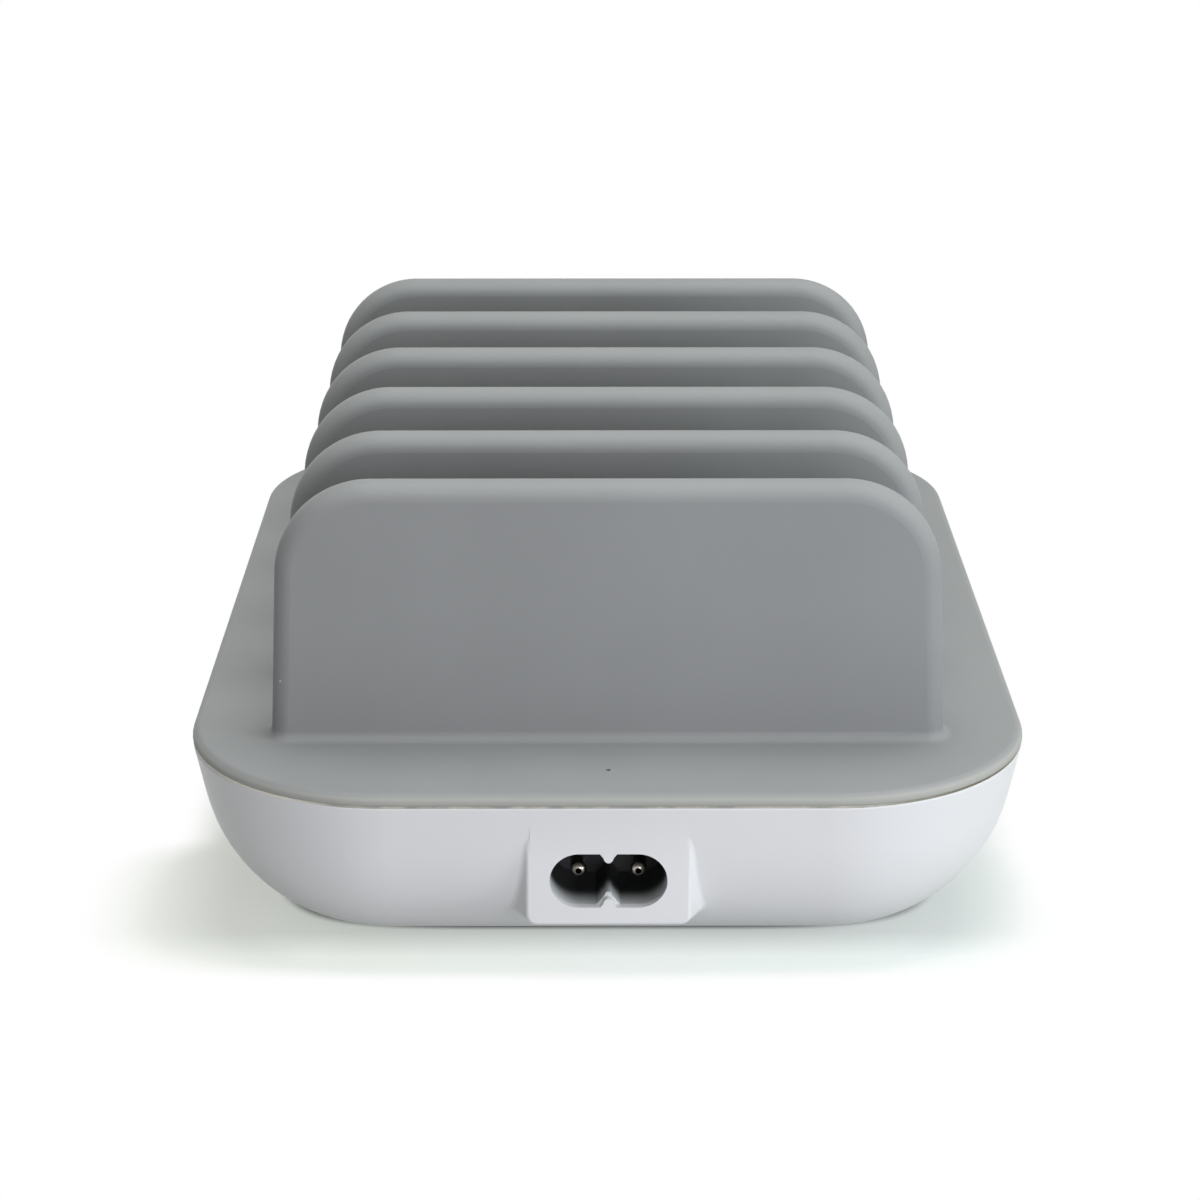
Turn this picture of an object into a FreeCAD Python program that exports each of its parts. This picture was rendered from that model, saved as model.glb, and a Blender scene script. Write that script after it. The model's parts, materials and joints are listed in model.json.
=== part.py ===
"""Charging station organizer: a white bowl-shaped case that holds a mains power supply and five USB
outlets, under a soft grey rack whose six upright fins leave five slots for phones and tablets.

Frame: millimetres, +Z up, origin on the table under the middle of the case. The mains inlet end faces
-Y, the USB outlets face +X, and the slots run along X.
"""
import FreeCAD, Part
import math
import os
from FreeCAD import Vector

# Case: a bowl whose walls lean in and roll under into a flat floor
CASE_WIDTH = 124.2
CASE_LENGTH = 172.5
WALL_HEIGHT = 28.3
WALL_DRAFT_DEG = 11.7
WALL_STRAIGHT = 2.5
FLOOR_CORNER_RADIUS = 3.2
SHELL_WALL = 2.2
RIM_ROUND = 0.3
FOOT_STANDOFF = 1.2

# General fits
CUT_OVERRUN = 1.0
FIT_CLEARANCE = 0.2
SKIN_CLEARANCE = 0.1
TOUCH_SHARE = 0.1
LEG_CLEARANCE = 0.1
SEAM_GAP = 0.25

# Soft rack cover and its fins
COVER_EDGE = 1.9
COVER_EDGE_ROUND = 1.25
FIN_COUNT = 6
FIN_END_MARGIN = 24.25
FIN_HEIGHT = 39.1
FIN_SIDE_MARGIN = 12.4
FIN_SIDE_TAPER = 1.8
FIN_BASE_THICKNESS = 6.8
FIN_TOP_THICKNESS = 5.8
FIN_CORNER_RADIUS = 14.3
FIN_FOOT_FILLET = 1.4
FIN_SKIN = 1.6
CREST_ROUND_SHARE = 0.45
PINHOLE_RADIUS = 0.35
PINHOLE_SETBACK = 9.6

# Deck frame under the cover
DECK_THICKNESS = 2.4
DECK_BOSS_RADIUS = 3.2
DECK_BOSS_LENGTH = 11.5

# Case screws and feet
SCREW_BOARD_GAP = 1.1
SCREW_RADIUS = 1.4
SCREW_HEAD_RADIUS = 2.7
SCREW_HEAD_HEIGHT = 2.0
SCREW_LENGTH = 12.0
SCREW_SLOT_WIDTH = 0.7
SCREW_SLOT_LENGTH = 3.2
SCREW_SLOT_DEPTH = 1.0
BOSS_WALL = 1.0
BOSS_CAP = 3.0
FOOT_RADIUS = 6.0
FOOT_POCKET_DEPTH = 0.8
FOOT_EDGE_ROUND = 0.5
FOOT_INSET_X = 7.2
FOOT_INSET_Y = 7.4

# Inlet pad: a flat upright panel that stands out of the curved wall around the mains inlet
PAD_INSET = 1.05
PAD_SIDE_DRAFT_DEG = 21.0
PAD_UNDER_DRAFT_DEG = 8.0
PAD_DEPTH = 9.0
PAD_CORNER_ROUND = 1.6
PAD_EDGE_ROUND = 0.5
PAD_FOOT_ROUND = 0.8
PAD_EASE_RADIUS = 25.0
PAD_SIDE_MARGIN = 3.28
PAD_LOWER_MARGIN = 2.75

# Mains inlet: a rounded recess with a key rib above and below, and two round pins
INLET_DROP = 11.7
INLET_OPENING_WIDTH = 16.85
INLET_OPENING_HEIGHT = 8.35
INLET_LIP = 1.2
LIP_KEY_ROOT = 2.3
LIP_KEY_TIP = 1.4
LIP_KEY_HEIGHT = 1.35
HOUSING_KEY_ROOT = 3.4
HOUSING_KEY_TIP = 1.1
HOUSING_KEY_HEIGHT = 1.95
INLET_DEPTH = 12.5
INLET_PIN_SPACING = 8.6
INLET_PIN_RADIUS = 1.18
INLET_PIN_SETBACK = 3.4
INLET_PIN_BORE_RADIUS = 0.42
INLET_PIN_BORE_DEPTH = 2.5
INLET_HOUSING_WALL = 1.25
INLET_HOUSING_BACK = 4.5
INLET_PIN_TAIL = 2.2
INLET_LEG_RADIUS = 0.6
LEG_PROUD = 1.4

# Power board and its stand-offs
BOARD_THICKNESS = 1.6
POWER_BOARD_MARGIN = 1.9
PART_GAP = 1.6
BOARD_WALL_GAP = 1.2
POST_RADIUS = 2.8
POST_HOLE_RADIUS = 1.0
POST_EDGE = 3.4
POST_HOLE_DEPTH = 5.0
BOARD_SCREW_HEAD_RADIUS = 1.9
BOARD_SCREW_HEAD_HEIGHT = 1.3
BOARD_SCREW_LENGTH = 4.5
SHEET_THICKNESS = 0.4
SHEET_MARGIN = 3.0

# Outlet bay: a long recess in the right wall with a flat upright panel at its back
BAY_HEIGHT = 10.4
BAY_MARGIN = 4.5
BAY_SETBACK = 1.2
BAY_CORNER_ROUND = 3.0
BAY_EDGE_ROUND = 0.4
BAY_DRAFT_DEG = 10.0

# USB outlets and their board
PORT_COUNT = FIN_COUNT - 1
PORT_WIDTH = 13.1
PORT_HEIGHT = 5.7
PORT_DEPTH = 14.0
PORT_METAL = 0.35
PORT_CORNER_ROUND = 0.6
PORT_SETBACK = 0.5
PORT_OPENING_GAP = 0.25
PORT_BASE_DEPTH = 3.0
TONGUE_WIDTH = 11.1
TONGUE_THICKNESS = 1.85
TONGUE_LENGTH = 9.2
TONGUE_DROP = 0.45
CONTACT_COUNT = 4
CONTACT_PITCH = 2.3
CONTACT_WIDTH = 1.0
CONTACT_THICKNESS = 0.2
CONTACT_LENGTH = 7.0
SHIELD_LEG_WIDTH = 1.6
SHIELD_LEG_SETBACK = 8.5
USB_BOARD_MARGIN = 3.0
USB_BOARD_FRONT_GAP = 0.3
USB_BOARD_CORNER = 10.0

# Parts on the power board
FUSE_SIZE = (4.3, 8.4, 7.7)
FILM_CAPACITOR_SIZE = (6.0, 13.0, 11.0)
PART_EDGE_ROUND = 0.4
CHOKE_RADIUS = 6.5
CHOKE_HOLE_RADIUS = 3.4
CHOKE_CORE_HEIGHT = 6.0
CHOKE_WIRE = 1.0
CHOKE_WINDING_ANGLE = 130.0
BRIDGE_SIZE = (14.5, 3.8, 10.5)
BULK_RADIUS = 5.0
BULK_LENGTH = 20.0
BULK_ROUND = 0.8
TRANSISTOR_SIZE = (10.0, 4.4, 10.5)
HEATSINK_SIZE = (19.0, 1.6, 11.0)
HEATSINK_FLANGE = 4.0
CORE_WIDTH = 25.0
CORE_LENGTH = 25.0
CORE_HEIGHT = 8.0
CORE_YOKE = 4.0
CORE_LEG = 4.0
CORE_CENTRE_LEG = 8.0
BOBBIN_WALL = 0.7
BOBBIN_BASE = 2.0
WINDING_GAP = 0.3
WINDING_BULGE = 1.6
DISC_RADIUS = 4.0
DISC_THICKNESS = 3.4
OPTOCOUPLER_SIZE = (6.4, 4.6, 3.4)
CHIP_SIZE = (4.0, 5.0, 1.5)
OUTPUT_CAPACITOR_RADIUS = 3.5
OUTPUT_CAPACITOR_HEIGHT = 11.0
OUTPUT_CAPACITOR_ROUND = 0.5
OUTPUT_CAPACITOR_COUNT = 3
PORT_CHIP_SIZE = (4.0, 5.0, 1.5)

# Wires inside the case
DC_LEAD_RADIUS = 1.0
DC_LEAD_PITCH = 3.2
DC_LEAD_RISE = 6.0
DC_LEAD_BEND = 3.0
DC_LEAD_INSET = 3.6
LED_RADIUS = 1.5
LED_FLANGE_RADIUS = 1.9
LED_LENGTH = 2.8
LED_LEAD_RADIUS = 0.25
LED_LEAD_PITCH = 1.8
LED_LEAD_BEND_SHARE = 0.8

# Derived places
DRAFT = math.radians(WALL_DRAFT_DEG)
QUARTER_TURN = 90.0
HALF_TURN = 180.0
SHELL_BOTTOM = FOOT_STANDOFF
SEAM_Z = SHELL_BOTTOM + WALL_HEIGHT
WALL_ROUND_RADIUS = WALL_HEIGHT - WALL_STRAIGHT
ROUND_CENTRE_Z = SHELL_BOTTOM + WALL_ROUND_RADIUS
ROUND_CENTRE_INSET = WALL_ROUND_RADIUS / math.cos(DRAFT)
ROUND_CENTRE_INSET += WALL_STRAIGHT * math.tan(DRAFT)
CORNER_RADIUS = ROUND_CENTRE_INSET + FLOOR_CORNER_RADIUS
HALF_WIDTH = CASE_WIDTH / 2
HALF_LENGTH = CASE_LENGTH / 2
FLOOR_TOP = SHELL_BOTTOM + SHELL_WALL
FLAT_HALF_WIDTH = HALF_WIDTH - ROUND_CENTRE_INSET
FLAT_HALF_LENGTH = HALF_LENGTH - ROUND_CENTRE_INSET
DECK_TOP = SEAM_Z + SEAM_GAP
DECK_BOTTOM = DECK_TOP - DECK_THICKNESS
COVER_TOP = SEAM_Z + COVER_EDGE
FIN_CREST = COVER_TOP + FIN_HEIGHT
PINHOLE_Y = -(HALF_LENGTH - PINHOLE_SETBACK)
DECK_INSET = SHELL_WALL / math.cos(DRAFT) + DECK_THICKNESS * math.tan(DRAFT) + FIT_CLEARANCE
FIN_BASE_WIDTH = CASE_WIDTH - 2 * FIN_SIDE_MARGIN
FIN_TOP_WIDTH = FIN_BASE_WIDTH - 2 * FIN_SIDE_TAPER
FIN_PITCH = (CASE_LENGTH - 2 * FIN_END_MARGIN) / (FIN_COUNT - 1)
FIN_PLACES = [(i - (FIN_COUNT - 1) / 2) * FIN_PITCH for i in range(FIN_COUNT)]
PORT_PLACES = [(i - (PORT_COUNT - 1) / 2) * FIN_PITCH for i in range(PORT_COUNT)]
GAP_PLACES = [(i - (PORT_COUNT - 2) / 2) * FIN_PITCH for i in range(PORT_COUNT - 1)]
INLET_Z = SEAM_Z - INLET_DROP
PAD_BOTTOM = INLET_Z - INLET_OPENING_HEIGHT / 2 - PAD_LOWER_MARGIN
PAD_WIDTH = INLET_OPENING_WIDTH + 2 * PAD_SIDE_MARGIN
INLET_FACE = HALF_LENGTH - PAD_INSET
HOUSING_WIDTH = INLET_OPENING_WIDTH + 2 * INLET_HOUSING_WALL
HOUSING_HEIGHT = INLET_OPENING_HEIGHT + 2 * INLET_HOUSING_WALL
HOUSING_FRONT = INLET_FACE - INLET_LIP
HOUSING_REAR = INLET_FACE - INLET_DEPTH - INLET_HOUSING_BACK
POWER_BOARD_TOP = INLET_Z - HOUSING_HEIGHT / 2
POWER_BOARD_BOTTOM = POWER_BOARD_TOP - BOARD_THICKNESS
PORT_BOTTOM = INLET_Z - PORT_HEIGHT / 2
USB_BOARD_TOP = PORT_BOTTOM
USB_BOARD_BOTTOM = USB_BOARD_TOP - BOARD_THICKNESS
PORT_REACH = (PORT_COUNT - 1) / 2 * FIN_PITCH + PORT_WIDTH / 2
BOSS_TOP = DECK_BOTTOM - DECK_BOSS_LENGTH
BOSS_RADIUS = SCREW_HEAD_RADIUS + FIT_CLEARANCE + BOSS_WALL
SCREW_SEAT = BOSS_TOP - BOSS_CAP
POWER_BOARD_WIDTH = 4 * BULK_RADIUS + HEATSINK_SIZE[0] + 2 * (PART_GAP + POWER_BOARD_MARGIN)
SCREW_X = POWER_BOARD_WIDTH / 2 + SCREW_BOARD_GAP + BOSS_RADIUS
SCREW_PLACES = [(sx * SCREW_X, y) for y in (GAP_PLACES[0], GAP_PLACES[-1]) for sx in (-1, 1)]
FOOT_X = FLAT_HALF_WIDTH - FOOT_INSET_X
FOOT_Y = FLAT_HALF_LENGTH - FOOT_INSET_Y
Z_AXIS = Vector(0, 0, 1)
ORIGIN = Vector(0, 0, 0)


def wall_reach(z, inset):
    """How far inside the seam outline the wall's round lies at height z, moved inward by inset."""
    radius = WALL_ROUND_RADIUS - inset
    drop = ROUND_CENTRE_Z - z
    return ROUND_CENTRE_INSET - math.sqrt(radius * radius - drop * drop)


POWER_BOARD_FRONT = -(HALF_LENGTH - wall_reach(POWER_BOARD_BOTTOM, SHELL_WALL) - BOARD_WALL_GAP)
BAY_HALF = PORT_REACH + BAY_MARGIN
BAY_PAST_STRAIGHT = max(0, BAY_HALF - (HALF_LENGTH - CORNER_RADIUS))
BAY_WALL = wall_reach(INLET_Z - BAY_HEIGHT / 2, 0)
BAY_CORNER = CORNER_RADIUS - BAY_WALL
BAY_WALL += BAY_CORNER - math.sqrt(BAY_CORNER ** 2 - BAY_PAST_STRAIGHT ** 2)
PORT_FACE = HALF_WIDTH - BAY_WALL - BAY_SETBACK
PORT_FRONT = PORT_FACE - PORT_SETBACK
PORT_REAR = PORT_FRONT - PORT_DEPTH
USB_BOARD_OUTER = PORT_FACE - SHELL_WALL - USB_BOARD_FRONT_GAP
USB_BOARD_INNER = PORT_REAR - USB_BOARD_MARGIN
USB_BOARD_HALF = PORT_REACH + USB_BOARD_MARGIN

# Rows of parts on the power board, from the inlet end, each as deep as its deepest part
HEATSINK_ROW = TRANSISTOR_SIZE[1] + HEATSINK_FLANGE
ROW_DEPTHS = [
    max(2 * (CHOKE_RADIUS + CHOKE_WIRE), FUSE_SIZE[1], FILM_CAPACITOR_SIZE[1]),
    max(BRIDGE_SIZE[1], CHIP_SIZE[1]),
    max(BULK_LENGTH, HEATSINK_ROW),
    max(CORE_LENGTH, 2 * DISC_RADIUS, OPTOCOUPLER_SIZE[1]),
    2 * OUTPUT_CAPACITOR_RADIUS,
    HEATSINK_ROW,
]
ROW_START = -HOUSING_REAR + INLET_PIN_TAIL + PART_GAP
ROW_FRONTS = [ROW_START + sum(ROW_DEPTHS[:i]) + i * PART_GAP for i in range(len(ROW_DEPTHS))]
MAINS_ROW, BRIDGE_ROW, BULK_ROW, TRANSFORMER_ROW, CAPACITOR_ROW, RECTIFIER_ROW = [
    front + depth / 2 for front, depth in zip(ROW_FRONTS, ROW_DEPTHS)
]
POWER_BOARD_REAR = ROW_FRONTS[-1] + ROW_DEPTHS[-1] + PART_GAP
BOARD_LEFT = POWER_BOARD_MARGIN - POWER_BOARD_WIDTH / 2
BOARD_RIGHT = POWER_BOARD_WIDTH / 2 - POWER_BOARD_MARGIN
CHOKE_REACH = CHOKE_RADIUS + CHOKE_WIRE + PART_GAP
CORE_REACH = CORE_WIDTH / 2 + PART_GAP
FUSE_PLACE = (-CHOKE_REACH - FUSE_SIZE[0] / 2, MAINS_ROW)
CHOKE_PLACE = (0, MAINS_ROW)
FILM_CAPACITOR_PLACE = (CHOKE_REACH + FILM_CAPACITOR_SIZE[0] / 2, MAINS_ROW)
BRIDGE_PLACE = (-(PART_GAP + BRIDGE_SIZE[0]) / 2, BRIDGE_ROW)
CHIP_PLACE = ((PART_GAP + CHIP_SIZE[0]) / 2, BRIDGE_ROW)
BULK_PLACES = [(BOARD_LEFT + (2 * i + 1) * BULK_RADIUS + i * PART_GAP, BULK_ROW) for i in range(2)]
TRANSISTOR_PLACE = (BOARD_RIGHT - HEATSINK_SIZE[0] / 2, BULK_ROW - HEATSINK_FLANGE / 2)
TRANSFORMER_PLACE = (0, TRANSFORMER_ROW)
DISC_PLACE = (CORE_REACH + DISC_THICKNESS / 2, TRANSFORMER_ROW)
OPTOCOUPLER_PLACE = (-CORE_REACH - OPTOCOUPLER_SIZE[0] / 2, TRANSFORMER_ROW)
RECTIFIER_PLACE = (0, RECTIFIER_ROW - HEATSINK_FLANGE / 2)
OUTPUT_CAPACITOR_PITCH = 2 * OUTPUT_CAPACITOR_RADIUS + PART_GAP


def block(x0, x1, y0, y1, z0, z1):
    """Box between two corners."""
    return Part.makeBox(x1 - x0, y1 - y0, z1 - z0, Vector(x0, y0, z0))


def column(x, y, z0, z1, radius):
    """Upright cylinder."""
    return Part.makeCylinder(radius, z1 - z0, Vector(x, y, z0))


def rod(start, end, radius):
    """Cylinder between two points."""
    return Part.makeCylinder(radius, (end - start).Length, start, end - start)


def rounded_rectangle(half_x, half_y, radius, z):
    """Flat face with rounded corners at height z."""
    inner_x = half_x - radius
    inner_y = half_y - radius
    edges = []
    for sx, sy, turn in ((1, 1, 0), (-1, 1, 1), (-1, -1, 2), (1, -1, 3)):
        centre = Vector(sx * inner_x, sy * inner_y, z)
        start = turn * QUARTER_TURN
        edges.append(Part.makeCircle(radius, centre, Z_AXIS, start, start + QUARTER_TURN))
    joined = []
    for edge, following in zip(edges, edges[1:] + edges[:1]):
        joined.append(edge)
        joined.append(Part.makeLine(edge.lastVertex().Point, following.firstVertex().Point))
    return Part.Face(Part.Wire(joined))


def fuse_all(shapes):
    """One clean solid from touching or overlapping shapes."""
    return shapes[0].fuse(shapes[1:]).removeSplitter()


def export(name, shape):
    """Writes one node, with a fault raised if any of its solids is not closed."""
    if not shape.isValid() or not shape.Solids:
        raise ValueError(name + " is not a valid solid")
    shape.exportStep("parts/" + name + ".step")


def wall_profile(inset, top):
    """Half section of the bowl for one corner, radius along X, moved inward by inset: a leaning line,
    then an arc about the same centre, then the floor."""
    radius = WALL_ROUND_RADIUS - inset
    middle = (DRAFT + math.pi / 2) / 2
    centre = Vector(FLOOR_CORNER_RADIUS, 0, ROUND_CENTRE_Z)
    tangent, on_arc, floor_end = [
        centre + Vector(radius * math.cos(angle), 0, -radius * math.sin(angle))
        for angle in (DRAFT, middle, math.pi / 2)
    ]
    rim = Vector(tangent.x + (top - tangent.z) * math.tan(DRAFT), 0, top)
    axis_top = Vector(0, 0, top)
    axis_floor = Vector(0, 0, floor_end.z)
    return Part.Face(Part.Wire([
        Part.makeLine(axis_floor, axis_top),
        Part.makeLine(axis_top, rim),
        Part.makeLine(rim, tangent),
        Part.Arc(tangent, on_arc, floor_end).toShape(),
        Part.makeLine(floor_end, axis_floor),
    ]))


def bowl(inset, top):
    """Solid bowl: four turned corners, four straight walls and the block between them."""
    run_x = HALF_WIDTH - CORNER_RADIUS
    run_y = HALF_LENGTH - CORNER_RADIUS
    pieces = []
    for sx, sy, turn in ((1, 1, 0), (-1, 1, 1), (-1, -1, 2), (1, -1, 3)):
        corner = wall_profile(inset, top).revolve(ORIGIN, Z_AXIS, QUARTER_TURN)
        corner.rotate(ORIGIN, Z_AXIS, turn * QUARTER_TURN)
        corner.translate(Vector(sx * run_x, sy * run_y, 0))
        pieces.append(corner)
    for turn, reach, run in ((0, run_x, run_y), (1, run_y, run_x), (2, run_x, run_y), (3, run_y, run_x)):
        wall = wall_profile(inset, top)
        wall.translate(Vector(reach, -run, 0))
        wall = wall.extrude(Vector(0, 2 * run, 0))
        wall.rotate(ORIGIN, Z_AXIS, turn * QUARTER_TURN)
        pieces.append(wall)
    floor_z = SHELL_BOTTOM + inset
    pieces.append(block(-run_x, run_x, -run_y, run_y, floor_z, top))
    return fuse_all(pieces)


def inlet_pad():
    """Upright panel with drafted sides round the inlet. Its top runs into the leaning wall."""
    def outline(distance):
        back = INLET_FACE - distance
        half = PAD_WIDTH / 2 + back * math.tan(math.radians(PAD_SIDE_DRAFT_DEG))
        low = PAD_BOTTOM - back * math.tan(math.radians(PAD_UNDER_DRAFT_DEG))
        corners = [(-half, low), (half, low), (half, SEAM_Z), (-half, SEAM_Z), (-half, low)]
        return Part.makePolygon([Vector(x, -distance, z) for x, z in corners])

    solid = Part.makeLoft([outline(INLET_FACE), outline(INLET_FACE - PAD_DEPTH)], True, True)
    lower = [e for e in solid.Edges if runs_back(e) and e.CenterOfMass.z < INLET_Z]
    solid = solid.makeFillet(PAD_CORNER_ROUND, lower)
    front = [e for e in solid.Edges if lies_at(e, "y", -INLET_FACE)]
    return solid.makeFillet(PAD_EDGE_ROUND, [e for e in front if e.CenterOfMass.z < SEAM_Z - RIM_ROUND])


def pad_ease():
    """Wedge with a wide hollow face that eases the panel's top into the leaning wall."""
    crease = Vector(0, -INLET_FACE, SEAM_Z - PAD_INSET / math.tan(DRAFT))
    reach = PAD_EASE_RADIUS * math.tan(DRAFT / 2)
    low = crease - Z_AXIS * reach
    high = crease + Vector(0, -math.sin(DRAFT), math.cos(DRAFT)) * reach
    centre = low - Vector(0, PAD_EASE_RADIUS, 0)
    middle = centre + Vector(0, math.cos(DRAFT / 2), math.sin(DRAFT / 2)) * PAD_EASE_RADIUS
    inner = crease + Vector(0, CUT_OVERRUN, 0)
    side = Vector(PAD_WIDTH / 2 - PAD_EDGE_ROUND, 0, 0)
    hollow = Part.Arc(low - side, middle - side, high - side).toShape()
    inside = Part.makePolygon([high - side, inner - side, low - side])
    return Part.Face(Part.Wire([hollow] + inside.Edges)).extrude(side * 2)


def bay_recess():
    """Drafted recess for the outlets, from its flat panel out past the wall."""
    depth = HALF_WIDTH - PORT_FACE + CUT_OVERRUN
    flare = depth * math.tan(math.radians(BAY_DRAFT_DEG))
    outlines = []
    for x, grow in ((PORT_FACE, 0), (PORT_FACE + depth, flare)):
        face = rounded_rectangle(BAY_HEIGHT / 2 + grow, BAY_HALF + grow, BAY_CORNER_ROUND + grow, 0)
        face.rotate(ORIGIN, Vector(0, 1, 0), QUARTER_TURN)
        face.translate(Vector(x, 0, INLET_Z))
        outlines.append(face.OuterWire)
    return Part.makeLoft(outlines, True, True)


def bay_box():
    """Block that the outlet recess is sunk into, as thick behind and round it as the case's wall."""
    half_length = BAY_HALF + SHELL_WALL
    half_height = BAY_HEIGHT / 2 + SHELL_WALL
    inner = PORT_FACE - SHELL_WALL
    return block(inner, HALF_WIDTH, -half_length, half_length, INLET_Z - half_height, INLET_Z + half_height)


def runs_back(edge):
    """True for an edge that leads from the pad's face to its root."""
    return abs(edge.BoundBox.YLength - PAD_DEPTH) < FIT_CLEARANCE


def follows(edge, solid):
    """True if the middle of the edge lies on the solid's surface."""
    middle = edge.valueAt((edge.FirstParameter + edge.LastParameter) / 2)
    return solid.Shells[0].distToShape(Part.Vertex(middle))[0] < TOUCH_SHARE * SKIN_CLEARANCE


def lies_at(edge, axis, place):
    """True if the whole edge lies in one plane across the axis."""
    box = edge.BoundBox
    low, high = {"x": (box.XMin, box.XMax), "y": (box.YMin, box.YMax), "z": (box.ZMin, box.ZMax)}[axis]
    return max(abs(low - place), abs(high - place)) < SKIN_CLEARANCE / 2


def inlet_opening(front, rear, root, tip, height):
    """The recess as a prism along Y: a stadium with one tapered, round-tipped key rib above and one below."""
    radius = INLET_OPENING_HEIGHT / 2
    reach = INLET_OPENING_WIDTH / 2 - radius
    low = INLET_Z - radius
    high = INLET_Z + radius
    hole = block(-reach, reach, -front, -rear, low, high)
    for x in (-reach, reach):
        hole = hole.fuse(rod(Vector(x, -front, INLET_Z), Vector(x, -rear, INLET_Z), radius))
    hole = hole.removeSplitter()
    for edge_z, inward in ((high, -1), (low, 1)):
        tip_z = edge_z + inward * (height - tip / 2)
        root_z = edge_z - inward * CUT_OVERRUN
        side = [(root / 2, root_z), (root / 2, edge_z), (tip / 2, tip_z)]
        outline = [(-x, z) for x, z in side] + side[::-1]
        corners = [Vector(x, -front, z) for x, z in outline + outline[:1]]
        rib = Part.Face(Part.makePolygon(corners)).extrude(Vector(0, front - rear, 0))
        nose = rod(Vector(0, -front, tip_z), Vector(0, -rear, tip_z), tip / 2)
        hole = hole.cut(rib).cut(nose)
    return hole


def power_posts():
    """Places of the four power board stand-offs, beside the inlet and at the rear corners."""
    reach = POWER_BOARD_WIDTH / 2 - POST_EDGE
    return [(side * reach, y) for y in (-HOUSING_REAR, POWER_BOARD_REAR - POST_EDGE) for side in (-1, 1)]


def usb_posts():
    """Places of the USB board stand-offs, in the two gaps beside the middle outlet."""
    middle = len(GAP_PLACES) // 2
    return [(USB_BOARD_INNER + POST_EDGE, y) for y in GAP_PLACES[middle - 1:middle + 1]]


def padded_bowl(outer):
    """The solid bowl with the inlet pad grown out of its wall, rounded where the two meet."""
    pad = inlet_pad()
    body = fuse_all([outer, pad])
    foot = [e for e in body.Edges if follows(e, outer) and follows(e, pad)]
    foot = [e for e in foot if e.CenterOfMass.z < SEAM_Z - RIM_ROUND]
    return fuse_all([body.makeFillet(PAD_FOOT_ROUND, foot), pad_ease()])


def lower_shell():
    """White case: bowl with the inlet pad and outlet bay, screw bosses, board posts and foot pockets."""
    outer = bowl(0, SEAM_Z)
    body = padded_bowl(outer)
    body = body.makeFillet(RIM_ROUND, [e for e in body.Edges if lies_at(e, "z", SEAM_Z)])
    body = body.cut(bowl(SHELL_WALL, SEAM_Z + CUT_OVERRUN))
    recess = bay_recess()
    body = fuse_all([body, bay_box().common(outer)]).cut(recess)
    mouth = [e for e in body.Edges if follows(e, recess) and follows(e, outer)]
    body = body.makeFillet(BAY_EDGE_ROUND, mouth)
    posts = [(x, y, POWER_BOARD_BOTTOM, POST_RADIUS) for x, y in power_posts()]
    posts += [(x, y, USB_BOARD_BOTTOM, POST_RADIUS) for x, y in usb_posts()]
    bosses = [(x, y, BOSS_TOP, BOSS_RADIUS) for x, y in SCREW_PLACES]
    stands = [column(x, y, SHELL_BOTTOM, top, r).common(outer) for x, y, top, r in posts + bosses]
    body = fuse_all([body] + stands)
    for hole in post_holes(posts) + screw_holes() + foot_pockets() + port_holes():
        body = body.cut(hole)
    half = HOUSING_WIDTH / 2 + FIT_CLEARANCE
    rise = HOUSING_HEIGHT / 2 + FIT_CLEARANCE
    body = body.cut(block(-half, half, -HOUSING_FRONT, -HOUSING_REAR, INLET_Z - rise, INLET_Z + rise))
    key = (LIP_KEY_ROOT, LIP_KEY_TIP, LIP_KEY_HEIGHT)
    return body.cut(inlet_opening(INLET_FACE + CUT_OVERRUN, HOUSING_FRONT - CUT_OVERRUN, *key))


def post_holes(posts):
    """Blind screw holes in the tops of the board posts."""
    radius = POST_HOLE_RADIUS + SKIN_CLEARANCE
    return [column(x, y, top - POST_HOLE_DEPTH, top + CUT_OVERRUN, radius) for x, y, top, _ in posts]


def screw_holes():
    """Counterbores from below and clearance holes through the caps of the screw bosses."""
    holes = []
    for x, y in SCREW_PLACES:
        holes.append(column(x, y, SHELL_BOTTOM - CUT_OVERRUN, SCREW_SEAT, SCREW_HEAD_RADIUS + FIT_CLEARANCE))
        holes.append(column(x, y, SCREW_SEAT, BOSS_TOP + CUT_OVERRUN, SCREW_RADIUS + FIT_CLEARANCE))
    return holes


def foot_pockets():
    """Shallow round pockets under the floor for the feet."""
    top = SHELL_BOTTOM + FOOT_POCKET_DEPTH
    radius = FOOT_RADIUS + FIT_CLEARANCE
    return [column(x, y, SHELL_BOTTOM - CUT_OVERRUN, top, radius) for x, y in foot_places().values()]


def port_holes():
    """Openings in the bay's panel that the outlets' noses fill."""
    half = PORT_WIDTH / 2 + PORT_OPENING_GAP
    rise = PORT_HEIGHT / 2 + PORT_OPENING_GAP
    inner = PORT_FACE - SHELL_WALL - CUT_OVERRUN
    holes = []
    for y in PORT_PLACES:
        hole = block(inner, PORT_FACE + CUT_OVERRUN, y - half, y + half, INLET_Z - rise, INLET_Z + rise)
        along = [e for e in hole.Edges if e.BoundBox.XLength > SHELL_WALL]
        holes.append(hole.makeFillet(PORT_CORNER_ROUND, along))
    return holes


def foot_places():
    """Foot names and places at the corners of the flat floor."""
    rows = (("front", -FOOT_Y), ("rear", FOOT_Y))
    sides = (("left", -FOOT_X), ("right", FOOT_X))
    return {"foot_" + row + "_" + side: (x, y) for row, y in rows for side, x in sides}


def foot(x, y):
    """Rubber disc let into the floor."""
    disc = column(x, y, 0, SHELL_BOTTOM + FOOT_POCKET_DEPTH, FOOT_RADIUS)
    return disc.makeFillet(FOOT_EDGE_ROUND, [e for e in disc.Edges if lies_at(e, "z", 0)])


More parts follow.
